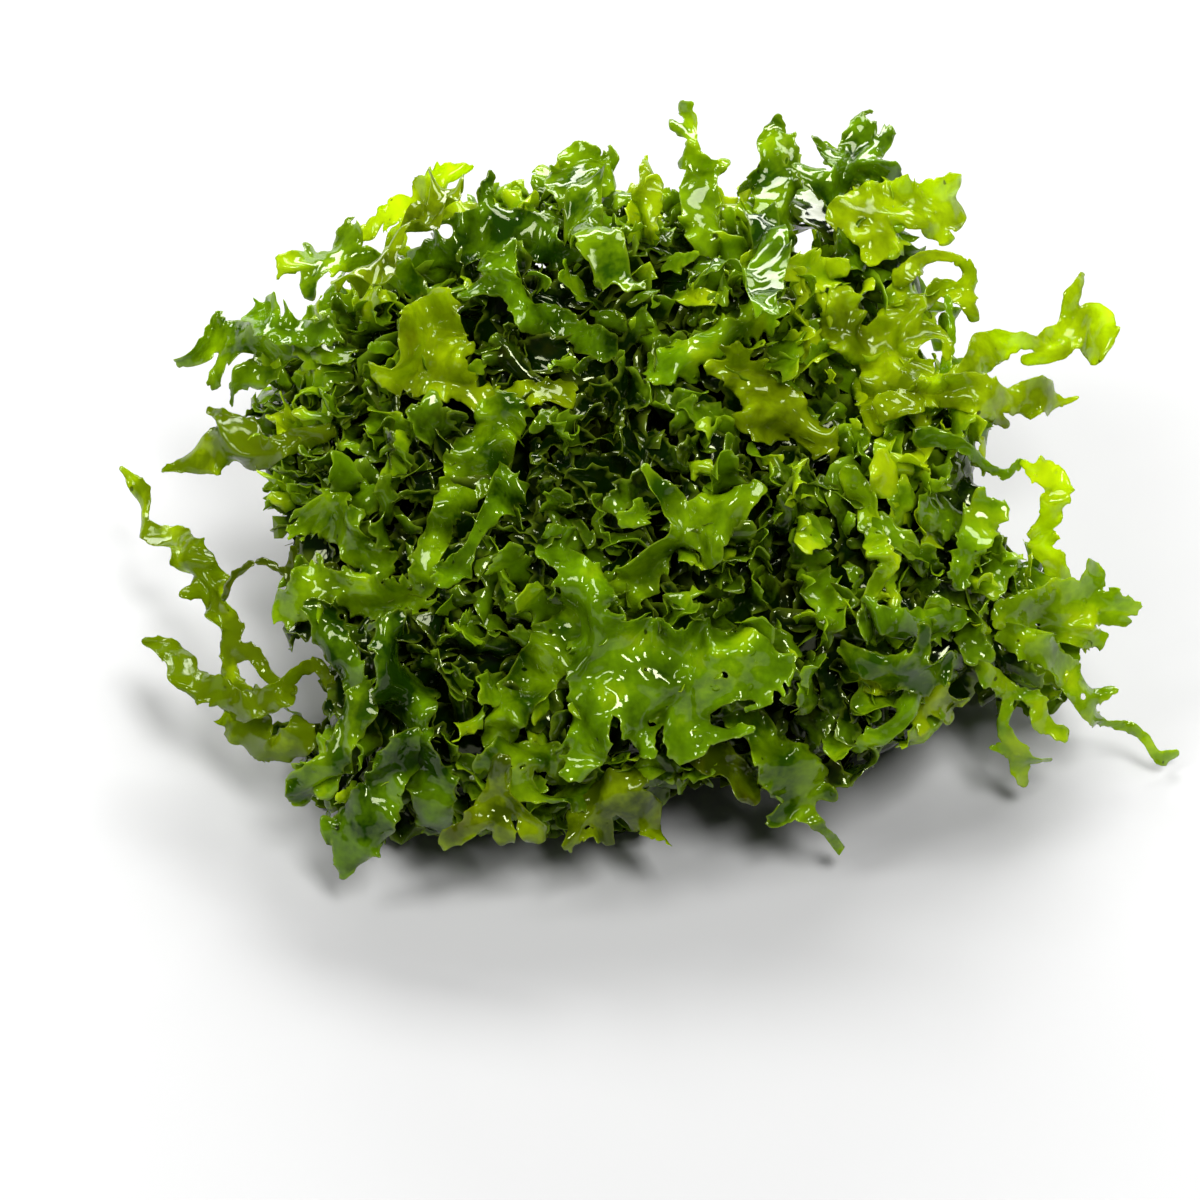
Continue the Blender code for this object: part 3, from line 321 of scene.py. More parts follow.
def cut_sheet(field, low, high, spacing):
    """The places and triangles of a flat net that fills an outline, where its field is negative."""
    row_height = spacing * math.sqrt(0.75)
    columns = int((high[0] - low[0]) / spacing) + 3
    rows = int((high[1] - low[1]) / row_height) + 3
    count = rows * columns
    row, column = np.divmod(np.arange(count), columns)
    places = np.stack((low[0] + (column + 0.5 * (row % 2)) * spacing, low[1] + row * row_height), axis=1)
    depth = field(places)
    close = np.flatnonzero(np.abs(depth) < spacing)
    nudges = ((NUDGE, 0.0), (0.0, NUDGE))
    slope = np.stack([(field(places[close] + nudge) - depth[close]) / NUDGE for nudge in nudges], axis=1)
    steepness = (slope ** 2).sum(axis=1) + TINY
    snapped = np.abs(depth[close]) / np.sqrt(steepness) < SNAP_SHARE * spacing
    places[close[snapped]] -= (depth[close] / steepness)[snapped, None] * slope[snapped]
    depth[close[snapped]] = 0.0

    r, c = np.divmod(np.arange((rows - 1) * (columns - 1)), columns - 1)
    here = r * columns + c
    right, above, corner = here + 1, here + columns, here + columns + 1
    even = (r % 2 == 0)[:, None]
    first = np.where(even, np.stack((here, right, above), 1), np.stack((here, right, corner), 1))
    second = np.where(even, np.stack((right, corner, above), 1), np.stack((here, corner, above), 1))
    triangles = np.vstack((first, second))
    signs = np.sign(depth).astype(int)[triangles]
    inside = (signs < 0).any(axis=1)
    triangles, signs = triangles[inside], signs[inside]
    crossed = (signs > 0).any(axis=1)
    faces = [triangles[~crossed]]
    triangles, signs = triangles[crossed], signs[crossed]
    cuts = []

    def cut(inner, outer):
        start = sum(len(one) for one in cuts)
        cuts.append(inner * count + outer)
        return -1 - start - np.arange(len(inner))

    for turn in range(3):
        a, b, c = np.roll(triangles, -turn, axis=1).T
        sa, sb, sc = np.roll(signs, -turn, axis=1).T
        lone = (sa < 0) & (sb > 0) & (sc > 0)
        faces.append(np.stack((a[lone], cut(a[lone], b[lone]), cut(a[lone], c[lone])), 1))
        pair = (sa < 0) & (sb < 0) & (sc > 0)
        on_b, on_a = cut(b[pair], c[pair]), cut(a[pair], c[pair])
        faces.append(np.stack((a[pair], b[pair], on_b), 1))
        faces.append(np.stack((a[pair], on_b, on_a), 1))
        before = (sa < 0) & (sb == 0) & (sc > 0)
        faces.append(np.stack((a[before], b[before], cut(a[before], c[before])), 1))
        after = (sa < 0) & (sb > 0) & (sc == 0)
        faces.append(np.stack((a[after], cut(a[after], b[after]), c[after]), 1))
    faces = np.vstack(faces)
    keys, which = np.unique(np.concatenate(cuts), return_inverse=True)
    inner, outer = np.divmod(keys, count)
    share = (depth[inner] / (depth[inner] - depth[outer]))[:, None]
    places = np.vstack((places, places[inner] + share * (places[outer] - places[inner])))
    new = faces < 0
    faces[new] = count + which[-1 - faces[new]]
    return whole_piece(places, faces)


def whole_piece(places, faces):
    """The largest connected part of a net, with its places renumbered."""
    label = np.arange(len(places))
    while True:
        lowest = label[faces].min(axis=1)
        spread = label.copy()
        np.minimum.at(spread, faces.ravel(), np.repeat(lowest, 3))
        spread = spread[spread]
        if (spread == label).all():
            break
        label = spread
    belongs = label[faces[:, 0]]
    names, sizes = np.unique(belongs, return_counts=True)
    faces = faces[belongs == names[sizes.argmax()]]
    used, faces = np.unique(faces, return_inverse=True)
    return places[used], faces.reshape(-1, 3)


# The tissue has two faces and a rim between them. It thins towards its margin, and its margin is
# marked for a painted rim highlight.
HALF_THICKNESS = 0.06
THINNING_WIDTH = 0.5
RIM_THINNESS = 0.35
# width over which the painted rim highlight fades in from the margin
PAINTED_RIM_WIDTH = 0.15


LEAST_NORMAL = 1e-12


def surface_normals(spots, faces):
    """The direction that the surface faces at each corner."""
    a, b, c = spots[faces[:, 0]], spots[faces[:, 1]], spots[faces[:, 2]]
    flat = np.cross(b - a, c - a)
    normals = np.zeros_like(spots)
    for corner in range(3):
        np.add.at(normals, faces[:, corner], flat)
    return normals / np.maximum(np.linalg.norm(normals, axis=1), LEAST_NORMAL)[:, None]


def thickened(spots, faces, depth, youth_and_shade):
    """A closed leaf from an open one: places, triangles, youth, margin and which faces are rim."""
    count = len(spots)
    half = HALF_THICKNESS * np.clip(depth / THINNING_WIDTH, RIM_THINNESS, 1.0)
    margin = np.clip(1.0 - depth / PAINTED_RIM_WIDTH, 0.0, 1.0)
    offset = surface_normals(spots, faces) * half[:, None]
    sides = np.vstack((faces[:, (0, 1)], faces[:, (1, 2)], faces[:, (2, 0)]))
    forward, backward = sides[:, 0] * count + sides[:, 1], sides[:, 1] * count + sides[:, 0]
    one, two = sides[~np.isin(forward, backward)].T
    rim = np.vstack((np.stack((two, one, one + count), 1), np.stack((two, one + count, two + count), 1)))
    solid = np.vstack((faces, faces[:, ::-1] + count, rim))
    flat = np.arange(len(solid)) >= 2 * len(faces)
    return np.vstack((spots + offset, spots - offset)), solid, np.tile(youth_and_shade, 2), np.tile(margin, 2), flat


def add_piece(name, leaves, finish, node):
    """One object from finished leaves, which rides on the clump's only body."""
    starts = np.cumsum([0] + [len(leaf[0]) for leaf in leaves])
    spots = np.vstack([leaf[0] for leaf in leaves]) * MM
    triangles = np.vstack([leaf[1] + start for leaf, start in zip(leaves, starts)])
    mesh = bpy.data.meshes.new(name)
    mesh.vertices.add(len(spots))
    mesh.vertices.foreach_set("co", spots.astype(np.float32).ravel())
    mesh.loops.add(triangles.size)
    mesh.loops.foreach_set("vertex_index", triangles.astype(np.int32).ravel())
    mesh.polygons.add(len(triangles))
    mesh.polygons.foreach_set("loop_start", np.arange(0, triangles.size, 3, dtype=np.int32))
    mesh.polygons.foreach_set("use_smooth", ~np.concatenate([leaf[4] for leaf in leaves]))
    mesh.update(calc_edges=True)
    for label, column in (("youth_and_shade", 2), ("margin", 3)):
        values = np.concatenate([leaf[column] for leaf in leaves]).astype(np.float32)
        mesh.attributes.new(label, "FLOAT", "POINT").data.foreach_set("value", values)
    mesh.materials.append(wet_thallus(finish))
    piece = bpy.data.objects.new(name, mesh)
    bpy.context.scene.collection.objects.link(piece)
    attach(piece, "root")
    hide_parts(node)


# A long thallus follows its route, a middle line with a half-width, and its branches follow theirs.
# Its margin is scalloped into round lobes or drawn out into points, and has teeth and small nicks.
ROUTE_STEP = 0.3
SCALLOP_LENGTH = 2.9
MOST_SCALLOP = 0.7
SCALLOP_SHARE = 0.45
SCALLOP_DRIFT = 0.8
SCALLOP_DRIFT_LENGTH = 4.5
SCALLOP_CHANGE = 0.8
SCALLOP_CHANGE_LENGTH = 5.0
SIDE_LAG = 0.35
TOOTH_LENGTH = 1.7
TOOTH_DEPTH = 0.75
TOOTH_SHARPNESS = 0.4
TOOTH_BASE = 0.85
TOOTH_DRIFT = 1.3
TOOTH_DRIFT_LENGTH = 3.0
TOOTHED_SHARE = 0.3
TOOTHED_BY_POINTS = 0.6
TOOTHED_CHANGE = 0.9
TOOTHED_CHANGE_LENGTH = 4.0
NICK_DEPTH = 0.05
NICK_LENGTH = 0.9


def smooth_route(points):
    """Close points on a smooth curve through the given ones: place, half-width, length, heading."""
    ends = np.vstack((2.0 * points[0] - points[1], points, 2.0 * points[-1] - points[-2]))
    samples = []
    for index in range(len(points) - 1):
        before, start, end, after = ends[index:index + 4]
        count = max(2, int(np.linalg.norm(end[:2] - start[:2]) / ROUTE_STEP))
        for t in np.arange(count) / count:
            bend = (2.0 * before - 5.0 * start + 4.0 * end - after) * t * t
            turn = (3.0 * start - before - 3.0 * end + after) * t ** 3
            samples.append(0.5 * (2.0 * start + (end - before) * t + bend + turn))
    samples.append(points[-1])
    samples = np.array(samples)
    ahead = np.gradient(samples[:, :2], axis=0)
    steps = np.linalg.norm(ahead, axis=1)
    return np.column_stack((samples, np.cumsum(steps), ahead / steps[:, None]))


def on_route(places, route):
    """How far outside the ribbon places are, and where they lie along it and to its side."""
    gaps = np.linalg.norm(places[:, None, :] - route[None, :, :2], axis=2) - route[:, 2]
    nearest = gaps.argmin(axis=1)
    x, y, half, along, ahead_x, ahead_y = route[nearest].T
    off_x, off_y = places[:, 0] - x, places[:, 1] - y
    aside = (ahead_x * off_y - ahead_y * off_x) / half
    along = along + ahead_x * off_x + ahead_y * off_y
    sideways = np.stack((-ahead_y, ahead_x), axis=1)
    return gaps[np.arange(len(places)), nearest], along, aside, half, sideways


def margin_field(route, points, seed):
    """The outline's field: the ribbon's own, scalloped by the given share of points to lobes."""

    def field(places):
        apart, along, aside, half, _ = on_route(places, route)
        drift = SCALLOP_DRIFT * waves(places, SCALLOP_DRIFT_LENGTH, seed)
        phase = along / SCALLOP_LENGTH + drift + SIDE_LAG * (aside > 0.0)
        round_lobes = np.abs(np.sin(math.pi * phase))
        change = 1.0 + SCALLOP_CHANGE * waves(places, SCALLOP_CHANGE_LENGTH, seed + 1)
        size = np.minimum(MOST_SCALLOP, SCALLOP_SHARE * half) * change
        shape = points * round_lobes + (1.0 - points) * (1.0 - round_lobes) - 0.5
        drift = TOOTH_DRIFT * waves(places, TOOTH_DRIFT_LENGTH, seed + 2)
        teeth = np.abs(np.sin(math.pi * along / TOOTH_LENGTH + drift))
        change = TOOTHED_CHANGE * waves(places, TOOTHED_CHANGE_LENGTH, seed + 7)
        toothed = np.clip(TOOTHED_SHARE + TOOTHED_BY_POINTS * points + change, 0.0, 1.0)
        toothed *= TOOTH_DEPTH * np.minimum(half, 1.0)
        drawn_out = toothed * (teeth ** TOOTH_SHARPNESS - TOOTH_BASE)
        return apart + size * shape + drawn_out + NICK_DEPTH * waves(places, NICK_LENGTH, seed + 8)

    return field


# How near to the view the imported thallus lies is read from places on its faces, the nearest of
# which count most.
FACE_STEPS = 4
NEAR_BLEND = 0.25
PLACES_AT_ONCE = 2000


def nearness(node, places, axes):
    """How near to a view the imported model's own sheet is at flat places in that view."""
    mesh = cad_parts[node].data
    corners = np.zeros(len(mesh.vertices) * 3)
    mesh.vertices.foreach_get("co", corners)
    mesh.calc_loop_triangles()
    faces = np.zeros(len(mesh.loop_triangles) * 3, dtype=int)
    mesh.loop_triangles.foreach_get("vertices", faces)
    corners = corners.reshape(-1, 3)[faces.reshape(-1, 3)] / MM
    steps = range(FACE_STEPS + 1)
    shares = np.array([(i, j, FACE_STEPS - i - j) for i in steps for j in steps[:FACE_STEPS + 1 - i]])
    samples = np.einsum("sk,tkc->tsc", shares / FACE_STEPS, corners).reshape(-1, 3)
    flat = (np.unique(samples.round(2), axis=0) - VIEW_MIDDLE) @ axes.T
    near = np.empty(len(places))
    for start in range(0, len(places), PLACES_AT_ONCE):
        part = slice(start, start + PLACES_AT_ONCE)
        apart = ((places[part, None, :] - flat[None, :, :2]) ** 2).sum(axis=2)
        pull = 1.0 / (apart + NEAR_BLEND) ** 2
        near[part] = (pull * flat[:, 2]).sum(axis=1) / pull.sum(axis=1)
    return near


# The laid sheet rolls and leans about its middle line, ruffles towards its margin, swells and
# dimples, and drifts a little. It keeps off the table, and a few have small holes.
SHEET_SPACING = 0.21
SHEET_MARGIN = 3.2
WIDENED = 1.1
BRANCH_BLEND = 0.3
ROLL = 0.75
ROLL_LENGTH = 7.0
LEAST_ROLL = 0.02
LEAST_ROLL_WIDTH = 0.7
LEAN = 0.65
LEAN_LENGTH = 9.0
RUFFLE = 0.65
RUFFLE_LENGTH = 2.7
RUFFLE_LAG = 1.7
RUFFLE_DRIFT = 1.2
RUFFLE_DRIFT_LENGTH = 5.0
RUFFLE_WIDEST = 1.6
RUFFLE_WIDTH = 1.3
EDGE_REACH = 1.3
EDGE_CURVE = 1.6
SWELL = 0.6
SWELL_LENGTH = 5.0
DIMPLE = 0.07
DIMPLE_LENGTH = 1.5
DRIFT = 0.35
DRIFT_LENGTH = 6.0
TABLE_GAP = 0.35
ROOT_AGE = -0.15
TIP_YOUTH = 0.3
YOUTH_CHANGE = 0.2
YOUTH_LENGTH = 4.0
BRANCH_SEEDS = 31
HOLES = (
    # place in the view and radius in millimetres
    (722, 673, 0.22), (640, 668, 0.16), (1031, 488, 0.3), (1029, 512, 0.14),
    (425, 216, 0.62), (447, 232, 0.5), (412, 226, 0.3), (905, 203, 0.14),
    (1094, 709, 0.3), (1076, 697, 0.2), (388, 254, 0.25), (300, 697, 0.16),
)


def long_thallus(node, ribbons, tone, points, axes, seed):
    """One long thallus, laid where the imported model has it, with its margin ruffled."""
    routes = [smooth_route(np.array(ribbon, float)) for ribbon in ribbons]
    for route in routes:
        route[:, 2] *= WIDENED
    route = np.vstack(routes)
    outline = margin_field(route, points, seed)

    def field(flat):
        edge = outline(flat)
        if axes is FRONT:
            for x, y, radius in from_pixels(HOLES):
                edge = np.maximum(edge, radius - np.hypot(flat[:, 0] - x, flat[:, 1] - y))
        return edge

    low = route[:, :2].min(axis=0) - SHEET_MARGIN
    high = route[:, :2].max(axis=0) + SHEET_MARGIN
    places, faces = cut_sheet(field, low, high, SHEET_SPACING)
    moved = np.zeros((len(places), 3))
    total = np.zeros(len(places))
    for order, ribbon in enumerate(routes):
        gap, along, aside, half, sideways = on_route(places, ribbon)
        pull = np.exp(-np.maximum(gap, -1.0) / BRANCH_BLEND)
        side = aside * half
        start = seed + 3 + BRANCH_SEEDS * order
        length = along[:, None] * (1.0, 0.0)
        bend = ROLL / np.maximum(half, LEAST_ROLL_WIDTH) * waves(length, ROLL_LENGTH, start)
        bend = np.where(np.abs(bend) < LEAST_ROLL, LEAST_ROLL, bend)
        lean = LEAN * waves(length, LEAN_LENGTH, start + 1)
        rolled = (np.sin(lean + bend * side) - np.sin(lean)) / bend
        raised = (np.cos(lean) - np.cos(lean + bend * side)) / bend
        swing = 2.0 * math.pi * along / RUFFLE_LENGTH + RUFFLE_LAG * (aside > 0.0)
        swing += RUFFLE_DRIFT * waves(places, RUFFLE_DRIFT_LENGTH, seed + 4)
        ruffle = RUFFLE * np.minimum(half, RUFFLE_WIDEST) / RUFFLE_WIDTH
        raised += ruffle * np.minimum(np.abs(aside), EDGE_REACH) ** EDGE_CURVE * np.sin(swing)
        moved[:, :2] += (pull * (rolled - side))[:, None] * sideways
        moved[:, 2] += pull * raised
        total += pull
    moved /= total[:, None]
    moved[:, 2] += nearness(node, places, axes) + SWELL * waves(places, SWELL_LENGTH, seed + 5)
    moved[:, 2] += DIMPLE * waves(places, DIMPLE_LENGTH, seed + 10)
    moved[:, :2] += places
    spots = VIEW_MIDDLE + moved @ axes
    for axis in range(3):
        spots[:, axis] += DRIFT * waves(spots, DRIFT_LENGTH, seed + 6 + axis)
    spots[:, 2] = np.maximum(spots[:, 2], TABLE_GAP)
    along = on_route(places, route)[1]
    youth_and_shade = tone + ROOT_AGE + TIP_YOUTH * (along / along.max())
    youth_and_shade += YOUTH_CHANGE * waves(places, YOUTH_LENGTH, seed + 9)
    return thickened(spots, faces, -field(places), youth_and_shade)


THALLUS_SEEDS = 20
front_leaves = []


def grow_long(table, first_seed):
    """Each long thallus of a table as a piece of its own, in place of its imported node."""
    for order, (name, (finish, tone, points, ribbons)) in enumerate(table.items()):
        node = name + "_thallus"
        ribbons = [from_pixels(ribbon) for ribbon in ribbons]
        leaf = long_thallus(node, ribbons, tone, points, FRONT, first_seed + THALLUS_SEEDS * order)
        front_leaves.append(leaf)
        add_piece(name, [leaf], finish, node)


grow_long(TOP_THALLI, 1000)

# Long thalli on the right, which reach furthest out of the clump: forked straps and curled ribbons
# of yellow, fresh and olive green, the olive ones older. They are made like those along the top.
FINISHES["olive_green"] = {
    "Deep": (0.040, 0.062, 0.0002), "Young": (0.290, 0.400, 0.001), "Lime": (0.450, 0.560, 0.003),
    "Old": (0.110, 0.085, 0.001), "Painted Rim": (0.180, 0.220, 0.008),
    "Old Share": 0.35, "Dullness": 0.08, "Through": 0.33,
}
RIGHT_THALLI = {
    "arched_right": ("olive_green", 1.0, 0.2, (
        ((895, 278, 0.7), (920, 266, 0.45), (940, 262, 0.35), (958, 272, 0.35), (953, 296, 0.9)),
        ((955, 300, 0.6), (965, 318, 0.45)),
        ((955, 292, 0.7), (935, 292, 0.6), (926, 305, 0.5)),
    )),
    "right_strap": ("deep_green", 1.1, 0.5, (
        ((915, 405, 0.8), (936, 380, 0.5), (950, 343, 0.42), (945, 306, 0.4)),
    )),
    "upper_right_lobed": ("yellow_green", 0.42, 0.5, (
        ((875, 420, 1.2), (882, 378, 1.6), (885, 346, 1.9), (905, 318, 1.1)),
        ((895, 350, 1.0), (920, 340, 0.7), (938, 345, 0.6), (942, 362, 0.3)),
        ((878, 352, 1.4), (845, 340, 1.5), (836, 305, 0.9)),
        ((892, 362, 1.2), (918, 370, 0.6)),
    )),
    "right_forked": ("yellow_green", 0.65, 0.4, (
        (
            (912, 408, 1.4), (942, 390, 1.3), (962, 372, 1.05), (986, 352, 0.95), (1012, 343, 0.6),
            (1040, 342, 0.55), (1066, 330, 1.15), (1090, 326, 1.3), (1106, 322, 0.8),
        ),
        ((1068, 325, 0.9), (1068, 294, 0.55), (1082, 277, 0.3)),
        ((1094, 335, 1), (1101, 350, 0.9), (1117, 335, 0.4)),
        ((1070, 336, 0.8), (1060, 352, 0.65), (1031, 364, 0.5)),
    )),
    "right_pointed": ("olive_green", 0.85, 0.6, (
        (
            (880, 412, 1), (930, 397, 1.1), (962, 397, 1.1), (1000, 400, 0.8), (1030, 398, 1.25),
            (1060, 405, 0.35), (1076, 401, 0.25),
        ),
        ((925, 405, 0.9), (962, 412, 0.7), (997, 425, 0.35)),
    )),
    "hooked_right": ("deep_green", 0.65, 0.3, (
        ((915, 440, 0.7), (946, 447, 0.45), (975, 469, 0.35), (1000, 478, 0.35), (1012, 466, 0.28)),
    )),
    "right_upright": ("yellow_green", 0.9, 0.2, (
        (
            (1050, 595, 1.1), (1053, 568, 0.95), (1040, 548, 1.0), (1036, 527, 0.9), (1044, 504, 0.75),
            (1052, 486, 0.75), (1040, 472, 0.8), (1022, 465, 0.4),
        ),
    )),
    "right_leafy": ("deep_green", 1.05, 1.0, (
        ((945, 575, 0.9), (965, 542, 1.0), (972, 520, 1.0), (992, 508, 0.3)),
    )),
    "right_cluster": ("fresh_green", 1.0, 0.3, (
        ((1005, 618, 1.2), (1055, 602, 1.3), (1090, 603, 1.4), (1115, 605, 1.1), (1130, 603, 0.5)),
        ((1100, 610, 1), (1124, 625, 0.5)),
        ((1085, 600, 1), (1095, 572, 0.8)),
        ((1050, 612, 1), (1070, 630, 1), (1095, 640, 0.6)),
    )),
    "right_tailed": ("fresh_green", 0.9, 0.3, (
        (
            (1010, 640, 1.1), (1058, 663, 0.95), (1073, 690, 0.9), (1090, 716, 0.65), (1110, 731, 0.28),
            (1130, 737, 0.42), (1146, 742, 0.3), (1162, 753, 0.4), (1182, 752, 0.25),
        ),
        ((1084, 703, 0.5), (1095, 698, 0.4), (1107, 694, 0.3)),
    )),
    "right_starred": ("deep_green", 1.3, 0.8, (
        (
            (975, 672, 0.9), (998, 690, 0.6), (1006, 712, 0.45), (1010, 730, 0.45), (1022, 752, 0.8),
            (1027, 786, 0.3),
        ),
        ((1022, 757, 0.6), (1047, 758, 0.3)),
        ((1018, 748, 0.5), (996, 745, 0.3)),
        ((1003, 692, 0.5), (1030, 700, 0.5), (1043, 718, 0.55), (1064, 728, 0.4)),
    )),
}
grow_long(RIGHT_THALLI, 2000)

# Long thalli on the left: short knobbed and spiky ones above, and long slack ribbons that trail
# away from the clump below. They are made like those along the top.
LEFT_THALLI = {
    "left_knobbed": ("fresh_green", 0.5, 0.0, (
        ((335, 355, 1.1), (290, 345, 1), (236, 335, 0.95), (200, 335, 0.95), (172, 345, 0.6)),
        ((214, 333, 0.7), (206, 313, 0.5)),
        ((262, 345, 0.7), (236, 352, 0.5), (210, 360, 0.5), (201, 378, 0.4)),
        ((285, 355, 0.8), (258, 372, 0.8), (232, 385, 0.7), (222, 398, 0.35)),
    )),
    "left_spiky": ("deep_green", 0.75, 1.0, (
        ((325, 332, 1), (290, 325, 1.2), (262, 318, 1.6), (240, 316, 0.7)),
        ((262, 316, 1.2), (266, 298, 0.6)),
    )),
    "upper_left_strap": ("fresh_green", 0.65, 0.3, (
        ((410, 285, 1.3), (360, 257, 1), (322, 261, 1), (291, 273, 0.7)),
        ((312, 263, 0.7), (308, 241, 0.4)),
        ((345, 256, 0.9), (351, 232, 0.9)),
        ((322, 268, 0.8), (311, 290, 0.8)),
    )),
    "left_blunt": ("yellow_green", -0.1, 0.4, (
        ((315, 435, 1.1), (275, 450, 1.1), (250, 454, 1.1), (215, 452, 1.3), (174, 464, 0.9)),
        ((258, 445, 1), (235, 428, 0.9), (204, 408, 0.4)),
    )),
    "far_left_trailing": ("yellow_green", 0.1, 0.6, (
        (
            (305, 735, 1.0), (270, 752, 1.1), (247, 722, 1.45), (236, 690, 1.1), (229, 655, 0.55),
            (231, 635, 0.8), (213, 605, 1.15), (190, 570, 1.4), (165, 541, 1.2), (143, 526, 0.7),
            (127, 510, 0.36), (120, 490, 0.65), (108, 464, 0.3),
        ),
        ((205, 595, 0.7), (180, 602, 0.35)),
        ((232, 648, 0.5), (258, 655, 0.5), (272, 675, 0.5), (292, 690, 0.6)),
    )),
    "left_lower": ("yellow_green", -0.35, 0.3, (
        (
            (288, 700, 1.0), (243, 706, 0.8), (218, 690, 0.95), (194, 676, 1.05), (170, 651, 1.1),
            (151, 645, 0.45),
        ),
        ((288, 695, 0.6), (300, 672, 0.4), (322, 664, 0.4), (338, 682, 0.4)),
    )),
    "thin_left": ("olive_green", -0.45, 0.3, (
        ((335, 578, 0.5), (290, 573, 0.28), (260, 568, 0.26), (240, 574, 0.26), (231, 590, 0.24)),
        ((295, 573, 0.5), (300, 549, 0.4)),
    )),
    "left_diamond": ("fresh_green", 0.55, 1.0, (
        ((385, 565, 1.1), (352, 537, 1.6), (330, 522, 1.6), (306, 532, 0.6)),
        ((332, 518, 1.2), (331, 503, 0.5)),
        ((350, 525, 1.2), (368, 515, 0.4)),
    )),
}
grow_long(LEFT_THALLI, 3000)

# Long thalli that lie over the middle of the clump, face to the view, as broad glossy plates and
# twisted straps. They are made like those along the top.
MIDDLE_THALLI = {
    "glossy_upper": ("deep_green", 0.6, 0.9, (
        ((600, 350, 1), (570, 333, 1), (530, 312, 1.3), (506, 285, 1.5), (508, 265, 1), (511, 250, 0.4)),
        ((505, 296, 1.3), (471, 305, 0.6)),
    )),
    "bright_plate": ("olive_green", 0.85, 0.7, (
        (
            (565, 400, 0.9), (530, 404, 0.9), (490, 408, 1), (455, 382, 1.8), (432, 352, 2.5),
            (440, 318, 1.4),
        ),
        ((425, 362, 2), (396, 375, 1.2), (384, 377, 0.5)),
        ((445, 355, 1.6), (475, 350, 0.5)),
    )),
    "upper_middle_leafy": ("deep_green", 1.0, 1.0, (
        ((665, 372, 1.2), (720, 343, 1.2), (750, 330, 1.3), (785, 318, 0.4)),
    )),
    "right_middle": ("olive_green", 0.6, 1.0, (
        ((815, 440, 1.2), (768, 403, 1.6), (740, 380, 1.7), (712, 376, 0.8)),
        ((790, 425, 1.2), (760, 430, 1), (742, 425, 0.5)),
    )),
    "glossy_right_ribbon": ("fresh_green", 1.05, 0.2, (
        ((842, 480, 0.8), (857, 510, 0.7), (868, 540, 0.7), (875, 570, 0.7), (858, 592, 0.5)),
    )),
    "right_front_leafy": ("deep_green", 0.65, 0.8, (
        ((945, 625, 1.1), (902, 618, 0.9), (876, 619, 1), (850, 605, 0.4)),
    )),
    "middle_bright": ("fresh_green", 0.55, 0.6, (
        ((625, 600, 1.3), (655, 560, 1.4), (682, 535, 1.4), (716, 518, 1.4), (750, 490, 0.6)),
        ((678, 530, 1.1), (672, 508, 0.8), (656, 489, 0.9), (644, 472, 0.35)),
        ((700, 528, 1.2), (702, 550, 0.8)),
    )),
    "bowed_left": ("fresh_green", 0.57, 0.9, (
        (
            (505, 420, 1.7), (490, 445, 2.1), (470, 488, 1.7), (446, 520, 0.85), (435, 550, 1),
            (423, 586, 1.1), (390, 604, 1.3), (350, 586, 1.5), (320, 592, 1.7), (291, 610, 0.8),
        ),
    )),
    "tongue": ("deep_green", 0.6, 0.1, (
        ((512, 488, 1.1), (492, 517, 0.8), (475, 541, 0.5), (458, 568, 1), (450, 588, 0.5)),
    )),
    "left_strip": ("deep_green", 0.35, 0.5, (
        ((325, 615, 1), (341, 645, 1), (360, 670, 1.05), (366, 700, 1.05), (358, 728, 0.6)),
    )),
    "square_ended": ("fresh_green", 0.35, 0.4, (
        ((372, 700, 1.1), (350, 738, 0.7), (332, 762, 0.8), (312, 784, 1.4)),
    )),
    "lower_left_band": ("deep_green", 0.2, 0.9, (
        (
            (400, 640, 1.5), (402, 665, 1.7), (411, 700, 1.9), (425, 742, 1.7), (438, 788, 1.4),
            (430, 820, 0.7),
        ),
    )),
    "glossy_lower_left": ("deep_green", 0.4, 0.7, (
        ((420, 740, 1.3), (397, 780, 1.5), (383, 806, 1.7), (364, 830, 1.6), (354, 860, 0.5)),
        ((364, 822, 1.0), (334, 822, 0.5)),
    )),
}
grow_long(MIDDLE_THALLI, 4000)

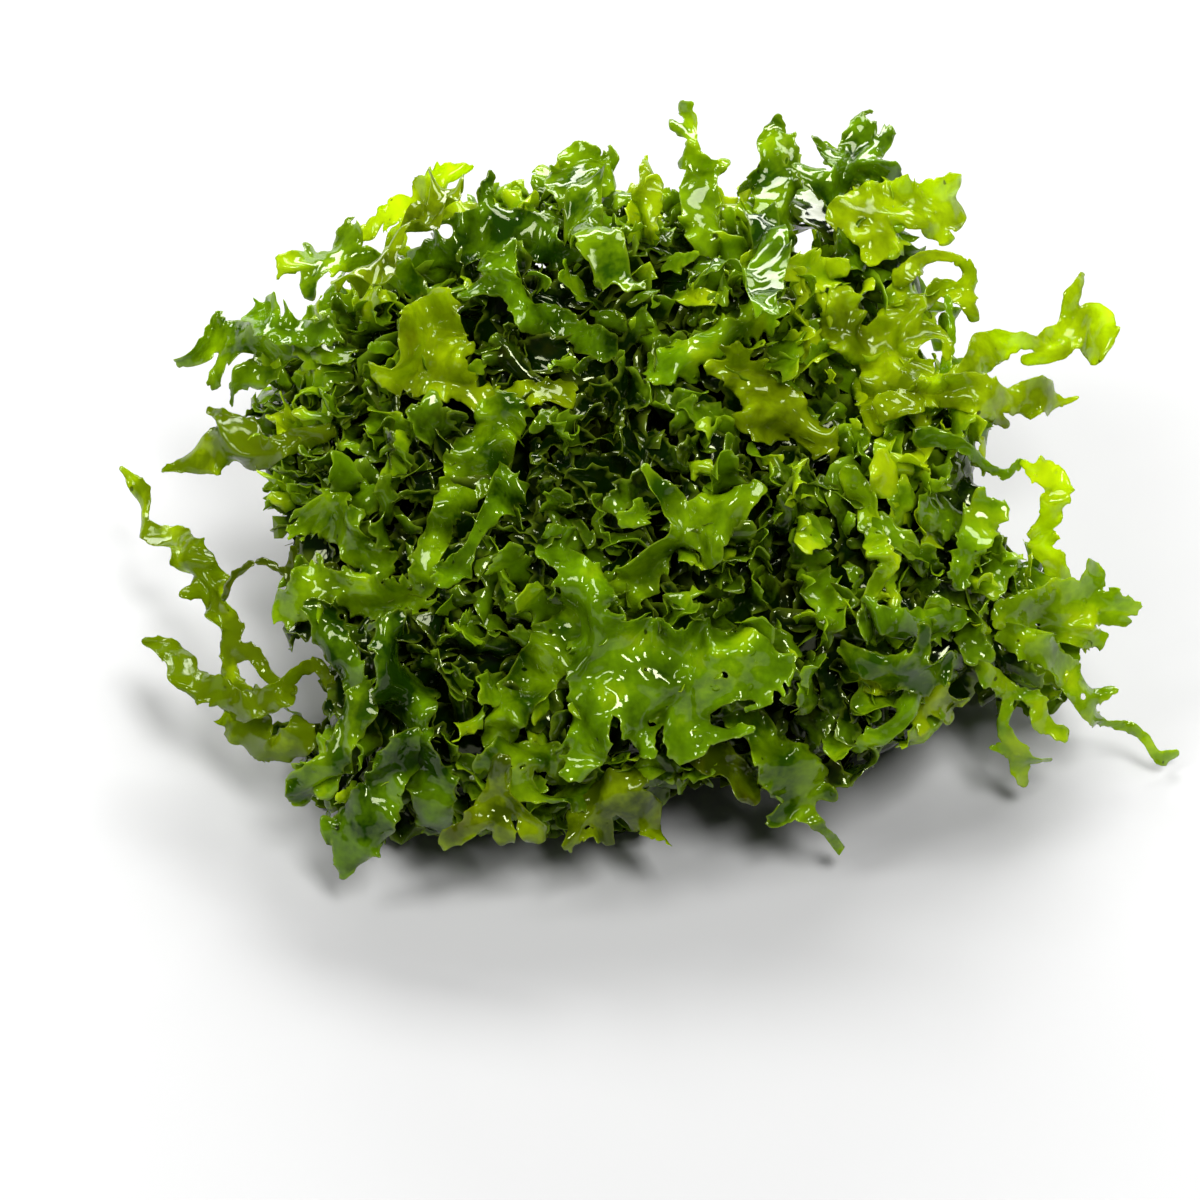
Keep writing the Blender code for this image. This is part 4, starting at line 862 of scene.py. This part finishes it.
# Long thalli along the front, which hang over the clump's lower edge: the largest of all, and lobed
# olive ones below it. They are made like those along the top.
FRONT_EDGE_THALLI = {
    "pale_front": ("fresh_green", 0.43, 0.5, (
        ((600, 600, 1.2), (560, 640, 1.3), (530, 680, 1.3), (505, 720, 1.2), (490, 752, 0.6)),
    )),
    "front_band": ("fresh_green", 0.5, 0.3, (
        ((665, 760, 1.1), (640, 773, 1.1), (600, 793, 1.1), (560, 788, 1.1), (520, 776, 0.8)),
        ((600, 780, 0.9), (560, 748, 0.9), (520, 751, 0.9), (486, 757, 0.4)),
    )),
    "front_left_lobed": ("olive_green", 0.35, 0.1, (
        ((500, 770, 1.2), (492, 796, 1.1), (478, 812, 1.0), (458, 828, 0.6)),
        ((495, 802, 0.9), (503, 826, 0.6)),
        ((502, 790, 0.8), (522, 806, 0.7), (531, 826, 0.75)),
    )),
    "front_middle_lobed": ("olive_green", 0.35, 0.1, (
        ((625, 780, 1.3), (590, 802, 1.3), (575, 830, 0.8)),
        ((600, 802, 1.0), (606, 832, 0.6)),
        ((630, 790, 1.2), (650, 814, 1.0), (664, 834, 0.5)),
    )),
    "front_olive": ("olive_green", 0.05, 0.5, (
        ((675, 730, 1.1), (705, 752, 1.2), (730, 762, 1.2), (750, 786, 0.7)),
    )),
    "front_right_fanned": ("fresh_green", 0.5, 0.6, (
        (
            (735, 712, 1.3), (760, 742, 1.4), (788, 768, 1.7), (795, 798, 0.9), (813, 826, 0.5),
            (833, 844, 0.6),
        ),
        ((792, 785, 0.9), (826, 795, 0.4)),
        ((790, 795, 0.9), (772, 814, 0.5)),
    )),
    "olive_front_right": ("olive_green", 1.05, 0.5, (
        ((870, 682, 1.1), (905, 680, 1.1), (930, 694, 1.1), (945, 714, 0.6)),
        ((925, 692, 0.9), (960, 702, 0.45)),
        ((915, 692, 0.8), (914, 724, 0.4)),
    )),
    "front_right_strap": ("deep_green", 0.9, 0.6, (
        ((900, 685, 0.9), (890, 708, 0.6), (870, 728, 0.6), (848, 745, 0.35)),
    )),
    "right_front_forked": ("fresh_green", 0.2, 0.7, (
        ((925, 668, 1.1), (900, 675, 1.2), (878, 669, 1.3), (858, 659, 1.2), (840, 645, 0.6)),
        ((884, 664, 0.8), (900, 649, 0.6), (905, 630, 0.4)),
    )),
    "largest_front": ("deep_green", 0.8, 1.0, (
        (
            (555, 545, 1.3), (575, 578, 1.5), (598, 630, 2.8), (630, 662, 3), (672, 668, 3),
            (722, 664, 2.6), (776, 662, 0.6),
        ),
        ((682, 655, 1.4), (696, 630, 0.8)),
        ((672, 680, 2.1), (684, 718, 1.7), (692, 746, 0.6)),
        ((686, 712, 1), (714, 734, 0.6), (737, 725, 0.4)),
        ((602, 655, 1.7), (592, 705, 1.1), (586, 740, 1.4), (577, 769, 0.6)),
        ((622, 680, 1.2), (626, 716, 0.9), (650, 741, 0.6)),
    )),
}
grow_long(FRONT_EDGE_THALLI, 5000)

# Long thalli on the far side, which the view doesn't show: like those in front, of the same wet
# tissue, but grown by rule. Each has a place on the clump, seen from behind, and a heading there.
BACK_ELEVATION = math.radians(40.0)
BACK = np.array((
    (-1.0, 0.0, 0.0),
    (0.0, -math.sin(BACK_ELEVATION), math.cos(BACK_ELEVATION)),
    (0.0, math.cos(BACK_ELEVATION), math.sin(BACK_ELEVATION)),
))
BACK_STEPS = 5
BACK_STEP_LENGTH = 2.6
BACK_TURN = 32
BACK_HALF_WIDTH = (0.9, 1.6)
BACK_TIP_TAPER = 0.5
BACK_FORK_TURN = 60
BACK_FORK_LENGTH = 4.2
BACK_FORK_HALF_WIDTHS = (1.0, 0.6)
BACK_TONE = 0.5
BACK_POINTS = 0.5
BACK_THALLI = {
    # finish, place in millimetres and heading in degrees
    "back_left": ("fresh_green", (-15, -10), 220),
    "back_upper_left": ("deep_green", (-8, 5), 125),
    "back_upper": ("fresh_green", (4, 4), 75),
    "back_upper_right": ("olive_green", (14, 2), 40),
    "back_middle": ("fresh_green", (-4, -8), 255),
    "back_lower_left": ("deep_green", (-14, -8), 215),
    "back_lower": ("olive_green", (5, -9), 280),
    "back_lower_right": ("fresh_green", (14, -12), 320),
}


def back_ribbons(draw, start, heading):
    """A forked ribbon on the far side, grown step by step from its start."""
    angle = math.radians(heading)
    place = np.array(start, float)
    main = []
    for step in range(BACK_STEPS):
        half_width = draw.uniform(*BACK_HALF_WIDTH)
        if step == BACK_STEPS - 1:
            half_width *= BACK_TIP_TAPER
        main.append((*place, half_width))
        angle += math.radians(draw.uniform(-BACK_TURN, BACK_TURN))
        place = place + BACK_STEP_LENGTH * np.array((math.cos(angle), math.sin(angle)))
    fork_at = main[BACK_STEPS // 2]
    fork_angle = angle + math.radians(draw.choice((-BACK_FORK_TURN, BACK_FORK_TURN)))
    fork_way = np.array((math.cos(fork_angle), math.sin(fork_angle)))
    tip = np.array(fork_at[:2]) + BACK_FORK_LENGTH * fork_way
    return main, ((*fork_at[:2], BACK_FORK_HALF_WIDTHS[0]), (*tip, BACK_FORK_HALF_WIDTHS[1]))


BACK_DRAW_SEED = 23
BACK_SEEDS = 7000
draw = np.random.default_rng(BACK_DRAW_SEED)
for order, (name, (finish, start, heading)) in enumerate(BACK_THALLI.items()):
    node = name + "_thallus"
    ribbons = back_ribbons(draw, start, heading)
    seed = BACK_SEEDS + THALLUS_SEEDS * order
    leaf = long_thallus(node, ribbons, BACK_TONE, BACK_POINTS, BACK, seed)
    add_piece(name, [leaf], finish, node)

# The imported middle: short forked thalli that have grown into each other, rooted in four layers in
# the same heap of round lumps as the imported model's mat. The inner ones are broad and painted dark
# as shade, near black, and the outer ones small, younger and curled.
# its deepest colour is nearly black: the painted shade of the heap's inner gaps
FINISHES["packed_green"] = {
    "Deep": (0.0025, 0.010, 0.0001), "Young": (0.135, 0.265, 0.001), "Lime": (0.400, 0.520, 0.002),
    "Old": (0.050, 0.045, 0.001), "Painted Rim": (0.300, 0.430, 0.020),
    "Old Share": 0.25, "Dullness": 0.09, "Through": 0.28,
}
HEAP_LUMPS = np.array((
    # place and radius
    (0, 0, 13, 15), (-13, 8, 17, 10), (0, 9, 19, 12), (13, 9, 19, 11), (14, 12, 25, 7.5),
    (-7, 12, 23, 8), (-24, 11, 13, 6), (-15, -1, 13, 10.5), (15, -1, 14, 12), (20, -3, 10, 8.5),
    (-13, -9, 9, 10), (-17, -11, 7, 7.5), (-3, -9, 9, 10.5), (10, -8, 9, 10.5), (19, -7, 9, 7.5),
))
LUMP_PLACES = HEAP_LUMPS[:, :3]
LUMP_SIZES = HEAP_LUMPS[:, 3]
HEAP_MELT = 1.6
LOWEST_ROOT = 1.2
ROOT_TRIES = 9000
SETTLING_STEPS = 5
FAR_AWAY = 1e6


def heap_depth(spots):
    """How far outside the heap places are, and which way is out of it."""
    gaps = spots[:, None, :] - LUMP_PLACES
    apart = np.linalg.norm(gaps, axis=2)
    pull = np.exp(-(apart - LUMP_SIZES) / HEAP_MELT)
    total = pull.sum(axis=1)
    out = (pull[:, :, None] * gaps / apart[:, :, None]).sum(axis=1)
    return -HEAP_MELT * np.log(total), out / np.linalg.norm(out, axis=1)[:, None]


def root_spots(draw, depth, spacing):
    """Places at a depth below the heap's surface, no two closer than the spacing."""
    low = (LUMP_PLACES - LUMP_SIZES[:, None]).min(axis=0)
    high = (LUMP_PLACES + LUMP_SIZES[:, None]).max(axis=0)
    spots = draw.uniform(low, high, (ROOT_TRIES, 3))
    for _ in range(SETTLING_STEPS):
        outside, out = heap_depth(spots)
        spots = spots - (outside + depth)[:, None] * out
    spots = spots[spots[:, 2] > LOWEST_ROOT]
    chosen = np.full((len(spots), 3), FAR_AWAY)
    count = 0
    for spot in spots:
        if ((chosen[:count] - spot) ** 2).sum(axis=1).min(initial=FAR_AWAY) > spacing ** 2:
            chosen[count] = spot
            count += 1
    return chosen[:count]


# A short thallus is a ribbon that wanders as it grows, with one to three forks.
WANDER = 0.16
WANDER_SHARE = 0.35
MOST_VEER = 0.1
PROFILE_AT = (0.0, 0.3, 0.8, 1.0)
PROFILE = (0.55, 1.0, 0.95, 0.5)
WAIST = 0.18
WAIST_PACE = 2.2
PHASES = (0.0, 6.0)
FORK_COUNT = (1, 4)
FORK_AT = (0.3, 0.8)
FORK_TURN = (0.6, 1.2)
FORK_REACH = (0.22, 0.42)
FORK_TAPER = (0.85, 0.45)
SHORT_POINTS = (-0.2, 0.6)
SHORT_MARGIN = 2.2
SHORT_FIRST_SEED = 9000
SHORT_SEEDS = 3


def short_route(draw, length, width):
    """The route of a short thallus, from its root along x, with its forks."""
    count = int(length / ROUTE_STEP)
    turns = np.cumsum(draw.normal(0.0, WANDER, count)) * WANDER_SHARE
    heading = turns - turns[0] + draw.uniform(-MOST_VEER, MOST_VEER) * np.arange(count) * ROUTE_STEP
    share = np.linspace(0.0, 1.0, count)
    half = width / 2.0 * np.interp(share, PROFILE_AT, PROFILE)
    half *= 1.0 + WAIST * np.sin(share * length * WAIST_PACE + draw.uniform(*PHASES))
    ahead = np.stack((np.cos(heading), np.sin(heading)), 1)
    places = np.cumsum(ahead * ROUTE_STEP, axis=0)
    along = np.arange(count) * ROUTE_STEP
    route = [np.column_stack((places, half, along, ahead))]
    for _ in range(draw.integers(*FORK_COUNT)):
        at = int(count * draw.uniform(*FORK_AT))
        turn = heading[at] + draw.choice((-1.0, 1.0)) * draw.uniform(*FORK_TURN)
        steps = int(length * draw.uniform(*FORK_REACH) / ROUTE_STEP)
        way = np.array((math.cos(turn), math.sin(turn)))
        reach = np.arange(steps)[:, None] * ROUTE_STEP
        wide = np.linspace(*FORK_TAPER, steps) * half[at]
        ahead = np.tile(way, (steps, 1))
        route.append(np.column_stack((places[at] + reach * way, wide, along[at] + reach, ahead)))
    return np.vstack(route)


def short_sheets(draw, count, length, width, spacing):
    """Flat short thalli of the given sizes, each with where its places lie on its ribbon."""
    sheets = []
    for order in range(count):
        route = short_route(draw, draw.uniform(*length), draw.uniform(*width))
        seed = SHORT_FIRST_SEED + SHORT_SEEDS * order
        field = margin_field(route, draw.uniform(*SHORT_POINTS), seed)
        low, high = route[:, :2].min(axis=0) - SHORT_MARGIN, route[:, :2].max(axis=0) + SHORT_MARGIN
        places, faces = cut_sheet(field, low, high, spacing)
        sheets.append((places, faces, -field(places), *on_route(places, route)[1:4]))
    return sheets


# Painted light and shade: seen from the front, some parts of the clump, mostly at its edges, are
# painted brighter as backlight, and the gaps of its shaded middle painted darker. Each has a place in
# the view, a reach in millimetres and a change in youth.
PAINTED_LIGHT_PLACES = (
    (320, 240, 7.0, 0.4), (470, 195, 6.0, 0.4), (590, 175, 5.0, 0.5), (700, 180, 5.0, 0.4),
    (850, 210, 9.0, 0.65), (900, 360, 7.5, 0.8), (1010, 560, 8.0, 0.5), (250, 400, 6.0, 0.2),
    (620, 710, 8.0, 0.1), (520, 420, 9.0, -0.5), (610, 480, 8.0, -0.45), (400, 640, 8.0, -0.4),
    (830, 700, 6.0, -0.25), (300, 560, 6.0, -0.3),
)


def brightness(spots):
    """The painted backlight, above zero, and painted shade, below zero, at places, as seen from the front."""
    flat = (spots - VIEW_MIDDLE) @ FRONT.T
    x, y, reach, gain = np.array(from_pixels(PAINTED_LIGHT_PLACES)).T
    apart = np.linalg.norm(flat[:, None, :2] - np.stack((x, y), axis=1), axis=2) / reach
    return (gain * np.exp(-apart ** 2)).sum(axis=1)


# A short thallus leans out of the heap, bends and twists as it grows, and has a ruffled margin.
ROLL_SPREAD = 0.5
BEND_STEP = 0.3
BEND_CHANGE = 0.8
BEND_PACE = 0.9
ABOVE_ONE = 1.001
SHORT_RUFFLE = 0.34
SHORT_RUFFLE_LENGTH = 2.6
SHORT_RUFFLE_LAG = (1.0, 4.0)
SHORT_RUFFLE_DRIFT_LENGTH = 4.0
SHORT_RUFFLE_WIDEST = 1.4
SHORT_RUFFLE_WIDTH = 1.2
MOST_CUPPING = 0.9
FOOT_GAP = 0.2
FOOT_PACE = 1.7
SHORT_TIP_YOUTH = 0.25
# painted shade: the tissue is darker the deeper it lies in the heap, lighter where it stands out of it
PAINTED_HEAP_SHADE = 0.26
OUTER_LIMITS = (-2.5, 1.5)


def grown(draw, sheet, root, out, tilt, curl, twist, deepest, youth_and_shade, seed):
    """A short thallus in place: rooted in the heap, leaning by its tilt, curling and twisting."""
    places, faces, depth, along, aside, half = sheet
    sideways = np.cross(out, draw.normal(size=3))
    sideways /= np.linalg.norm(sideways)
    ahead = math.cos(tilt) * out + math.sin(tilt) * sideways
    face = math.sin(tilt) * out - math.cos(tilt) * sideways
    roll = draw.normal(0.0, ROLL_SPREAD)
    face = math.cos(roll) * face + math.sin(roll) * np.cross(ahead, face)
    count = int((places[:, 0].max() + BEND_STEP) / BEND_STEP) + 2
    start = draw.uniform(*PHASES)
    bends = curl * (1.0 + BEND_CHANGE * np.sin(np.arange(count) * BEND_STEP * BEND_PACE + start))
    spot = root.copy()
    line = []
    for bend in bends:
        line.append((spot, ahead, face))
        spot = spot + ahead * BEND_STEP
        ahead, face = ahead - bend * BEND_STEP * face, face + bend * BEND_STEP * ahead
        face = face + twist * BEND_STEP * np.cross(ahead, face)
        ahead = ahead / np.linalg.norm(ahead)
        face = face - ahead * (face @ ahead)
        face = face / np.linalg.norm(face)
    line = np.array(line)
    at = np.clip(places[:, 0] / BEND_STEP, 0.0, count - ABOVE_ONE)
    first = at.astype(int)
    share = (at - first)[:, None, None]
    here = line[first] * (1.0 - share) + line[first + 1] * share
    centre, forward, up = here[:, 0], here[:, 1], here[:, 2]
    across = np.cross(forward, up)
    swing = 2.0 * math.pi * along / SHORT_RUFFLE_LENGTH + draw.uniform(*PHASES)
    drift = waves(places, SHORT_RUFFLE_DRIFT_LENGTH, seed)
    swing += (aside > 0.0) * draw.uniform(*SHORT_RUFFLE_LAG) + drift
    edge = np.minimum(np.abs(aside), EDGE_REACH)
    lift = SHORT_RUFFLE * np.minimum(half, SHORT_RUFFLE_WIDEST) / SHORT_RUFFLE_WIDTH
    lift = lift * edge ** EDGE_CURVE * np.sin(swing)
    lift += draw.uniform(-MOST_CUPPING, MOST_CUPPING) * half * edge ** 2
    spots = centre + across * places[:, 1:] + up * lift[:, None]
    spots += forward * np.minimum(places[:, :1], 0.0)
    outside, away = heap_depth(spots)
    spots += away * np.maximum(0.0, deepest - outside)[:, None]
    foot = TABLE_GAP + FOOT_GAP * np.abs(np.sin(spots[:, 0] * FOOT_PACE))
    spots[:, 2] = np.maximum(spots[:, 2], foot)
    youth_and_shade = youth_and_shade + SHORT_TIP_YOUTH * along / along.max()
    # painted shade deep in the heap, and painted backlight and painted shade by place in the view
    youth_and_shade = youth_and_shade + PAINTED_HEAP_SHADE * np.clip(outside, *OUTER_LIMITS) + brightness(spots)
    return thickened(spots, faces, depth, youth_and_shade)


# Short thalli keep inside the clump's edge and out of the gaps that light comes through, and
# hide hardly any of the long ones. A map of the view keeps how near the long ones are.
CLUMP_EDGE = (
    (228, 392), (232, 350), (262, 318), (300, 300), (300, 262), (345, 240), (372, 226), (405, 206),
    (430, 192), (470, 183), (500, 178), (545, 166), (575, 150), (610, 168), (640, 178), (668, 188),
    (700, 165), (735, 180), (765, 150), (790, 138), (850, 120), (888, 155), (905, 200), (915, 240),
    (938, 265), (962, 300), (948, 350), (930, 385), (962, 398), (1000, 412), (985, 450), (990, 480),
    (1000, 500), (1025, 530), (1060, 572), (1105, 600), (1095, 640), (1080, 680), (1060, 716),
    (1020, 715), (985, 690), (965, 695), (940, 722), (890, 745), (860, 765), (835, 790), (800, 802),
    (760, 788), (720, 770), (684, 782), (680, 820), (640, 832), (590, 838), (540, 830), (500, 838),
    (450, 832), (400, 825), (360, 852), (335, 818), (300, 788), (290, 762), (262, 745), (262, 705),
    (290, 680), (287, 640), (292, 600), (300, 565), (285, 525), (268, 490), (245, 465), (240, 425),
)
GAPS = (
    # place in the view and radius
    (1007, 505, 2.1), (300, 695, 1.4), (1005, 372, 1.2), (683, 815, 1.2), (251, 593, 1.1), (431, 230, 1.0),
    (812, 247, 0.6), (313, 655, 0.8), (815, 212, 0.3), (940, 277, 0.8), (927, 334, 0.6), (856, 316, 0.5),
    (905, 352, 0.5), (1000, 455, 1.3), (730, 815, 1.8), (385, 241, 0.4), (789, 241, 0.4),
)
MOST_OUTSIDE = 0.12
MOST_HIDING = 0.06
HIDING_GAP = 0.1
MAP_CELL = 0.35
MAP_HALF = 60.0
NO_THALLUS = -1000.0
map_count = int(2 * MAP_HALF / MAP_CELL)
nearest_long = np.full((map_count, map_count), NO_THALLUS)
for leaf in front_leaves:
    flat = (leaf[0] - VIEW_MIDDLE) @ FRONT.T
    cells = ((flat[:, :2] + MAP_HALF) / MAP_CELL).astype(int)
    np.maximum.at(nearest_long, (cells[:, 0], cells[:, 1]), flat[:, 2])


def inside_edge(flat):
    """Which flat places lie inside the clump's edge."""
    edge = np.array(from_pixels(CLUMP_EDGE))
    ahead = np.roll(edge, -1, axis=0)
    rise = np.where(ahead[:, 1] == edge[:, 1], TINY, ahead[:, 1] - edge[:, 1])
    spans = (edge[:, 1] > flat[:, 1:2]) != (ahead[:, 1] > flat[:, 1:2])
    where = edge[:, 0] + (flat[:, 1:2] - edge[:, 1]) / rise * (ahead[:, 0] - edge[:, 0])
    return (spans & (where > flat[:, :1])).sum(axis=1) % 2 == 1


def is_welcome(spots):
    """Whether a short thallus keeps to the edge and the gaps, and leaves the long ones in sight."""
    flat = (spots - VIEW_MIDDLE) @ FRONT.T
    if (~inside_edge(flat)).mean() > MOST_OUTSIDE:
        return False
    for x, y, radius in from_pixels(GAPS):
        if np.hypot(flat[:, 0] - x, flat[:, 1] - y).min() < radius:
            return False
    cells = ((flat[:, :2] + MAP_HALF) / MAP_CELL).astype(int)
    over = nearest_long[cells[:, 0], cells[:, 1]]
    hiding = (over > NO_THALLUS) & (flat[:, 2] > over + HIDING_GAP)
    return hiding.mean() < MOST_HIDING


ATTEMPTS = 5
LAYERS = {
    # depth and spacing of the roots, number of sheets, their length, width and net, and the limits
    # of tilt, curl, twist, place below the heap's surface, and youth, kept lower on the deeper layers
    # as painted shade
    "inner": (3.0, 2.9, 14, (6.0, 9.0), (3.2, 4.6), 0.9, (1.2, 1.6), (0.02, 0.12), 0.05, -4.2, (-0.1, 0.2)),
    "middle": (1.5, 2.4, 40, (4.0, 7.0), (1.6, 2.8), 0.44, (0.8, 1.5), (-0.1, 0.3), 0.2, -2.6, (-0.3, 0.4)),
    "outer": (0.7, 2.05, 60, (3.4, 6.4), (1.2, 2.5), 0.36, (0.5, 1.45), (-0.35, 0.4), 0.3, -1.6, (-0.3, 0.9)),
    "fine": (-0.2, 2.3, 50, (2.2, 4.2), (0.8, 1.4), 0.32, (0.1, 1.2), (-0.6, 0.6), 0.5, -1.0, (-0.3, 0.9)),
}
SECTORS = ("right", "back_right", "back", "back_left", "left", "front_left", "front", "front_right")
SECTOR_ANGLE = 2.0 * math.pi / len(SECTORS)
MAT_DRAW_SEED = 77
MAT_FIRST_SEED = 20000
draw = np.random.default_rng(MAT_DRAW_SEED)
groups = {}
for layer, values in LAYERS.items():
    depth, apart, count, length, width, net, tilts, curls, twists, deepest, youths = values
    sheets = short_sheets(draw, count, length, width, net)
    for order, root in enumerate(root_spots(draw, depth, apart)):
        out = heap_depth(root[None])[1][0]
        for _ in range(ATTEMPTS):
            sheet = sheets[draw.integers(len(sheets))]
            tilt = draw.uniform(*tilts)
            curl, twist = draw.uniform(*curls), draw.normal(0.0, twists)
            youth_and_shade = draw.uniform(*youths)
            seed = MAT_FIRST_SEED + order
            leaf = grown(draw, sheet, root, out, tilt, curl, twist, deepest, youth_and_shade, seed)
            if is_welcome(leaf[0]):
                sector = SECTORS[round(math.atan2(root[1], root[0]) / SECTOR_ANGLE) % len(SECTORS)]
                groups.setdefault(f"mat_{layer}_{sector}", []).append(leaf)
                break
for name, leaves in groups.items():
    add_piece(name, leaves, "packed_green", "tangled_mat")

# The clump lies on a pale, dull table. Soft windows stand behind, at the left and in front of it,
# as rectangles of light, and the camera looks down at it through a long lens.
TABLE_HALF = 4.0
TABLE_COLOUR = (0.44, 0.44, 0.44, 1.0)
TABLE_ROUGHNESS = 0.9
corners = [(x * TABLE_HALF, y * TABLE_HALF, 0.0) for x, y in ((-1, -1), (1, -1), (1, 1), (-1, 1))]
table_mesh = bpy.data.meshes.new("floor")
table_mesh.from_pydata(corners, [], [(0, 1, 2, 3)])
table = bpy.data.objects.new("floor", table_mesh)
bpy.context.scene.collection.objects.link(table)
paint = bpy.data.materials.new("pale table")
paint.use_nodes = True
paint.node_tree.nodes["Principled BSDF"].inputs["Base Color"].default_value = TABLE_COLOUR
paint.node_tree.nodes["Principled BSDF"].inputs["Roughness"].default_value = TABLE_ROUGHNESS
table_mesh.materials.append(paint)

LAMP_DISTANCE = 0.7
LAMPS = {
    # azimuth and elevation in degrees, width and height in metres, brightness
    "window behind": (180.0, 20.0, 0.76, 0.19, 14.0),
    "skylight behind": (165.0, 56.0, 0.56, 0.20, 14.0),
    "window at the left": (288.0, 50.0, 0.19, 0.33, 16.5),
    "window in front": (28.0, 64.0, 0.15, 0.23, 38.0),
}
for name, (azimuth, elevation, width, height, brightness_there) in LAMPS.items():
    lamp = bpy.data.lights.new(name, "AREA")
    lamp.shape = "RECTANGLE"
    lamp.size = width
    lamp.size_y = height
    lamp.energy = brightness_there * math.pi * lamp.size * lamp.size_y
    window = bpy.data.objects.new(name, lamp)
    bpy.context.scene.collection.objects.link(window)
    a, e = math.radians(azimuth), math.radians(elevation)
    way = Vector((math.sin(a) * math.cos(e), -math.cos(a) * math.cos(e), math.sin(e)))
    window.location = way * LAMP_DISTANCE
    window.rotation_euler = way.to_track_quat("Z", "Y").to_euler()

ROOM_COLOUR = (0.95, 0.98, 1.0, 1.0)
ROOM_LIGHT = 0.06
room = bpy.data.worlds.new("studio")
room.use_nodes = True
room.node_tree.nodes["Background"].inputs["Color"].default_value = ROOM_COLOUR
room.node_tree.nodes["Background"].inputs["Strength"].default_value = ROOM_LIGHT
bpy.context.scene.world = room
bpy.context.scene.view_settings.view_transform = "Standard"

CAMERA_DISTANCE = 298.3
LENS = 128.0
SENSOR = 36.0
NEAREST_SEEN = 0.01
AIM = VIEW_MIDDLE - 3.15 * ACROSS - 7.9 * UP
lens = bpy.data.cameras.new("camera")
lens.lens = LENS
lens.sensor_width = SENSOR
lens.clip_start = NEAREST_SEEN
camera = bpy.data.objects.new("camera", lens)
bpy.context.scene.collection.objects.link(camera)
camera.location = Vector((AIM + TOWARDS * CAMERA_DISTANCE) * MM)
camera.rotation_euler = Matrix((ACROSS, UP, TOWARDS)).transposed().to_euler()
bpy.context.scene.camera = camera
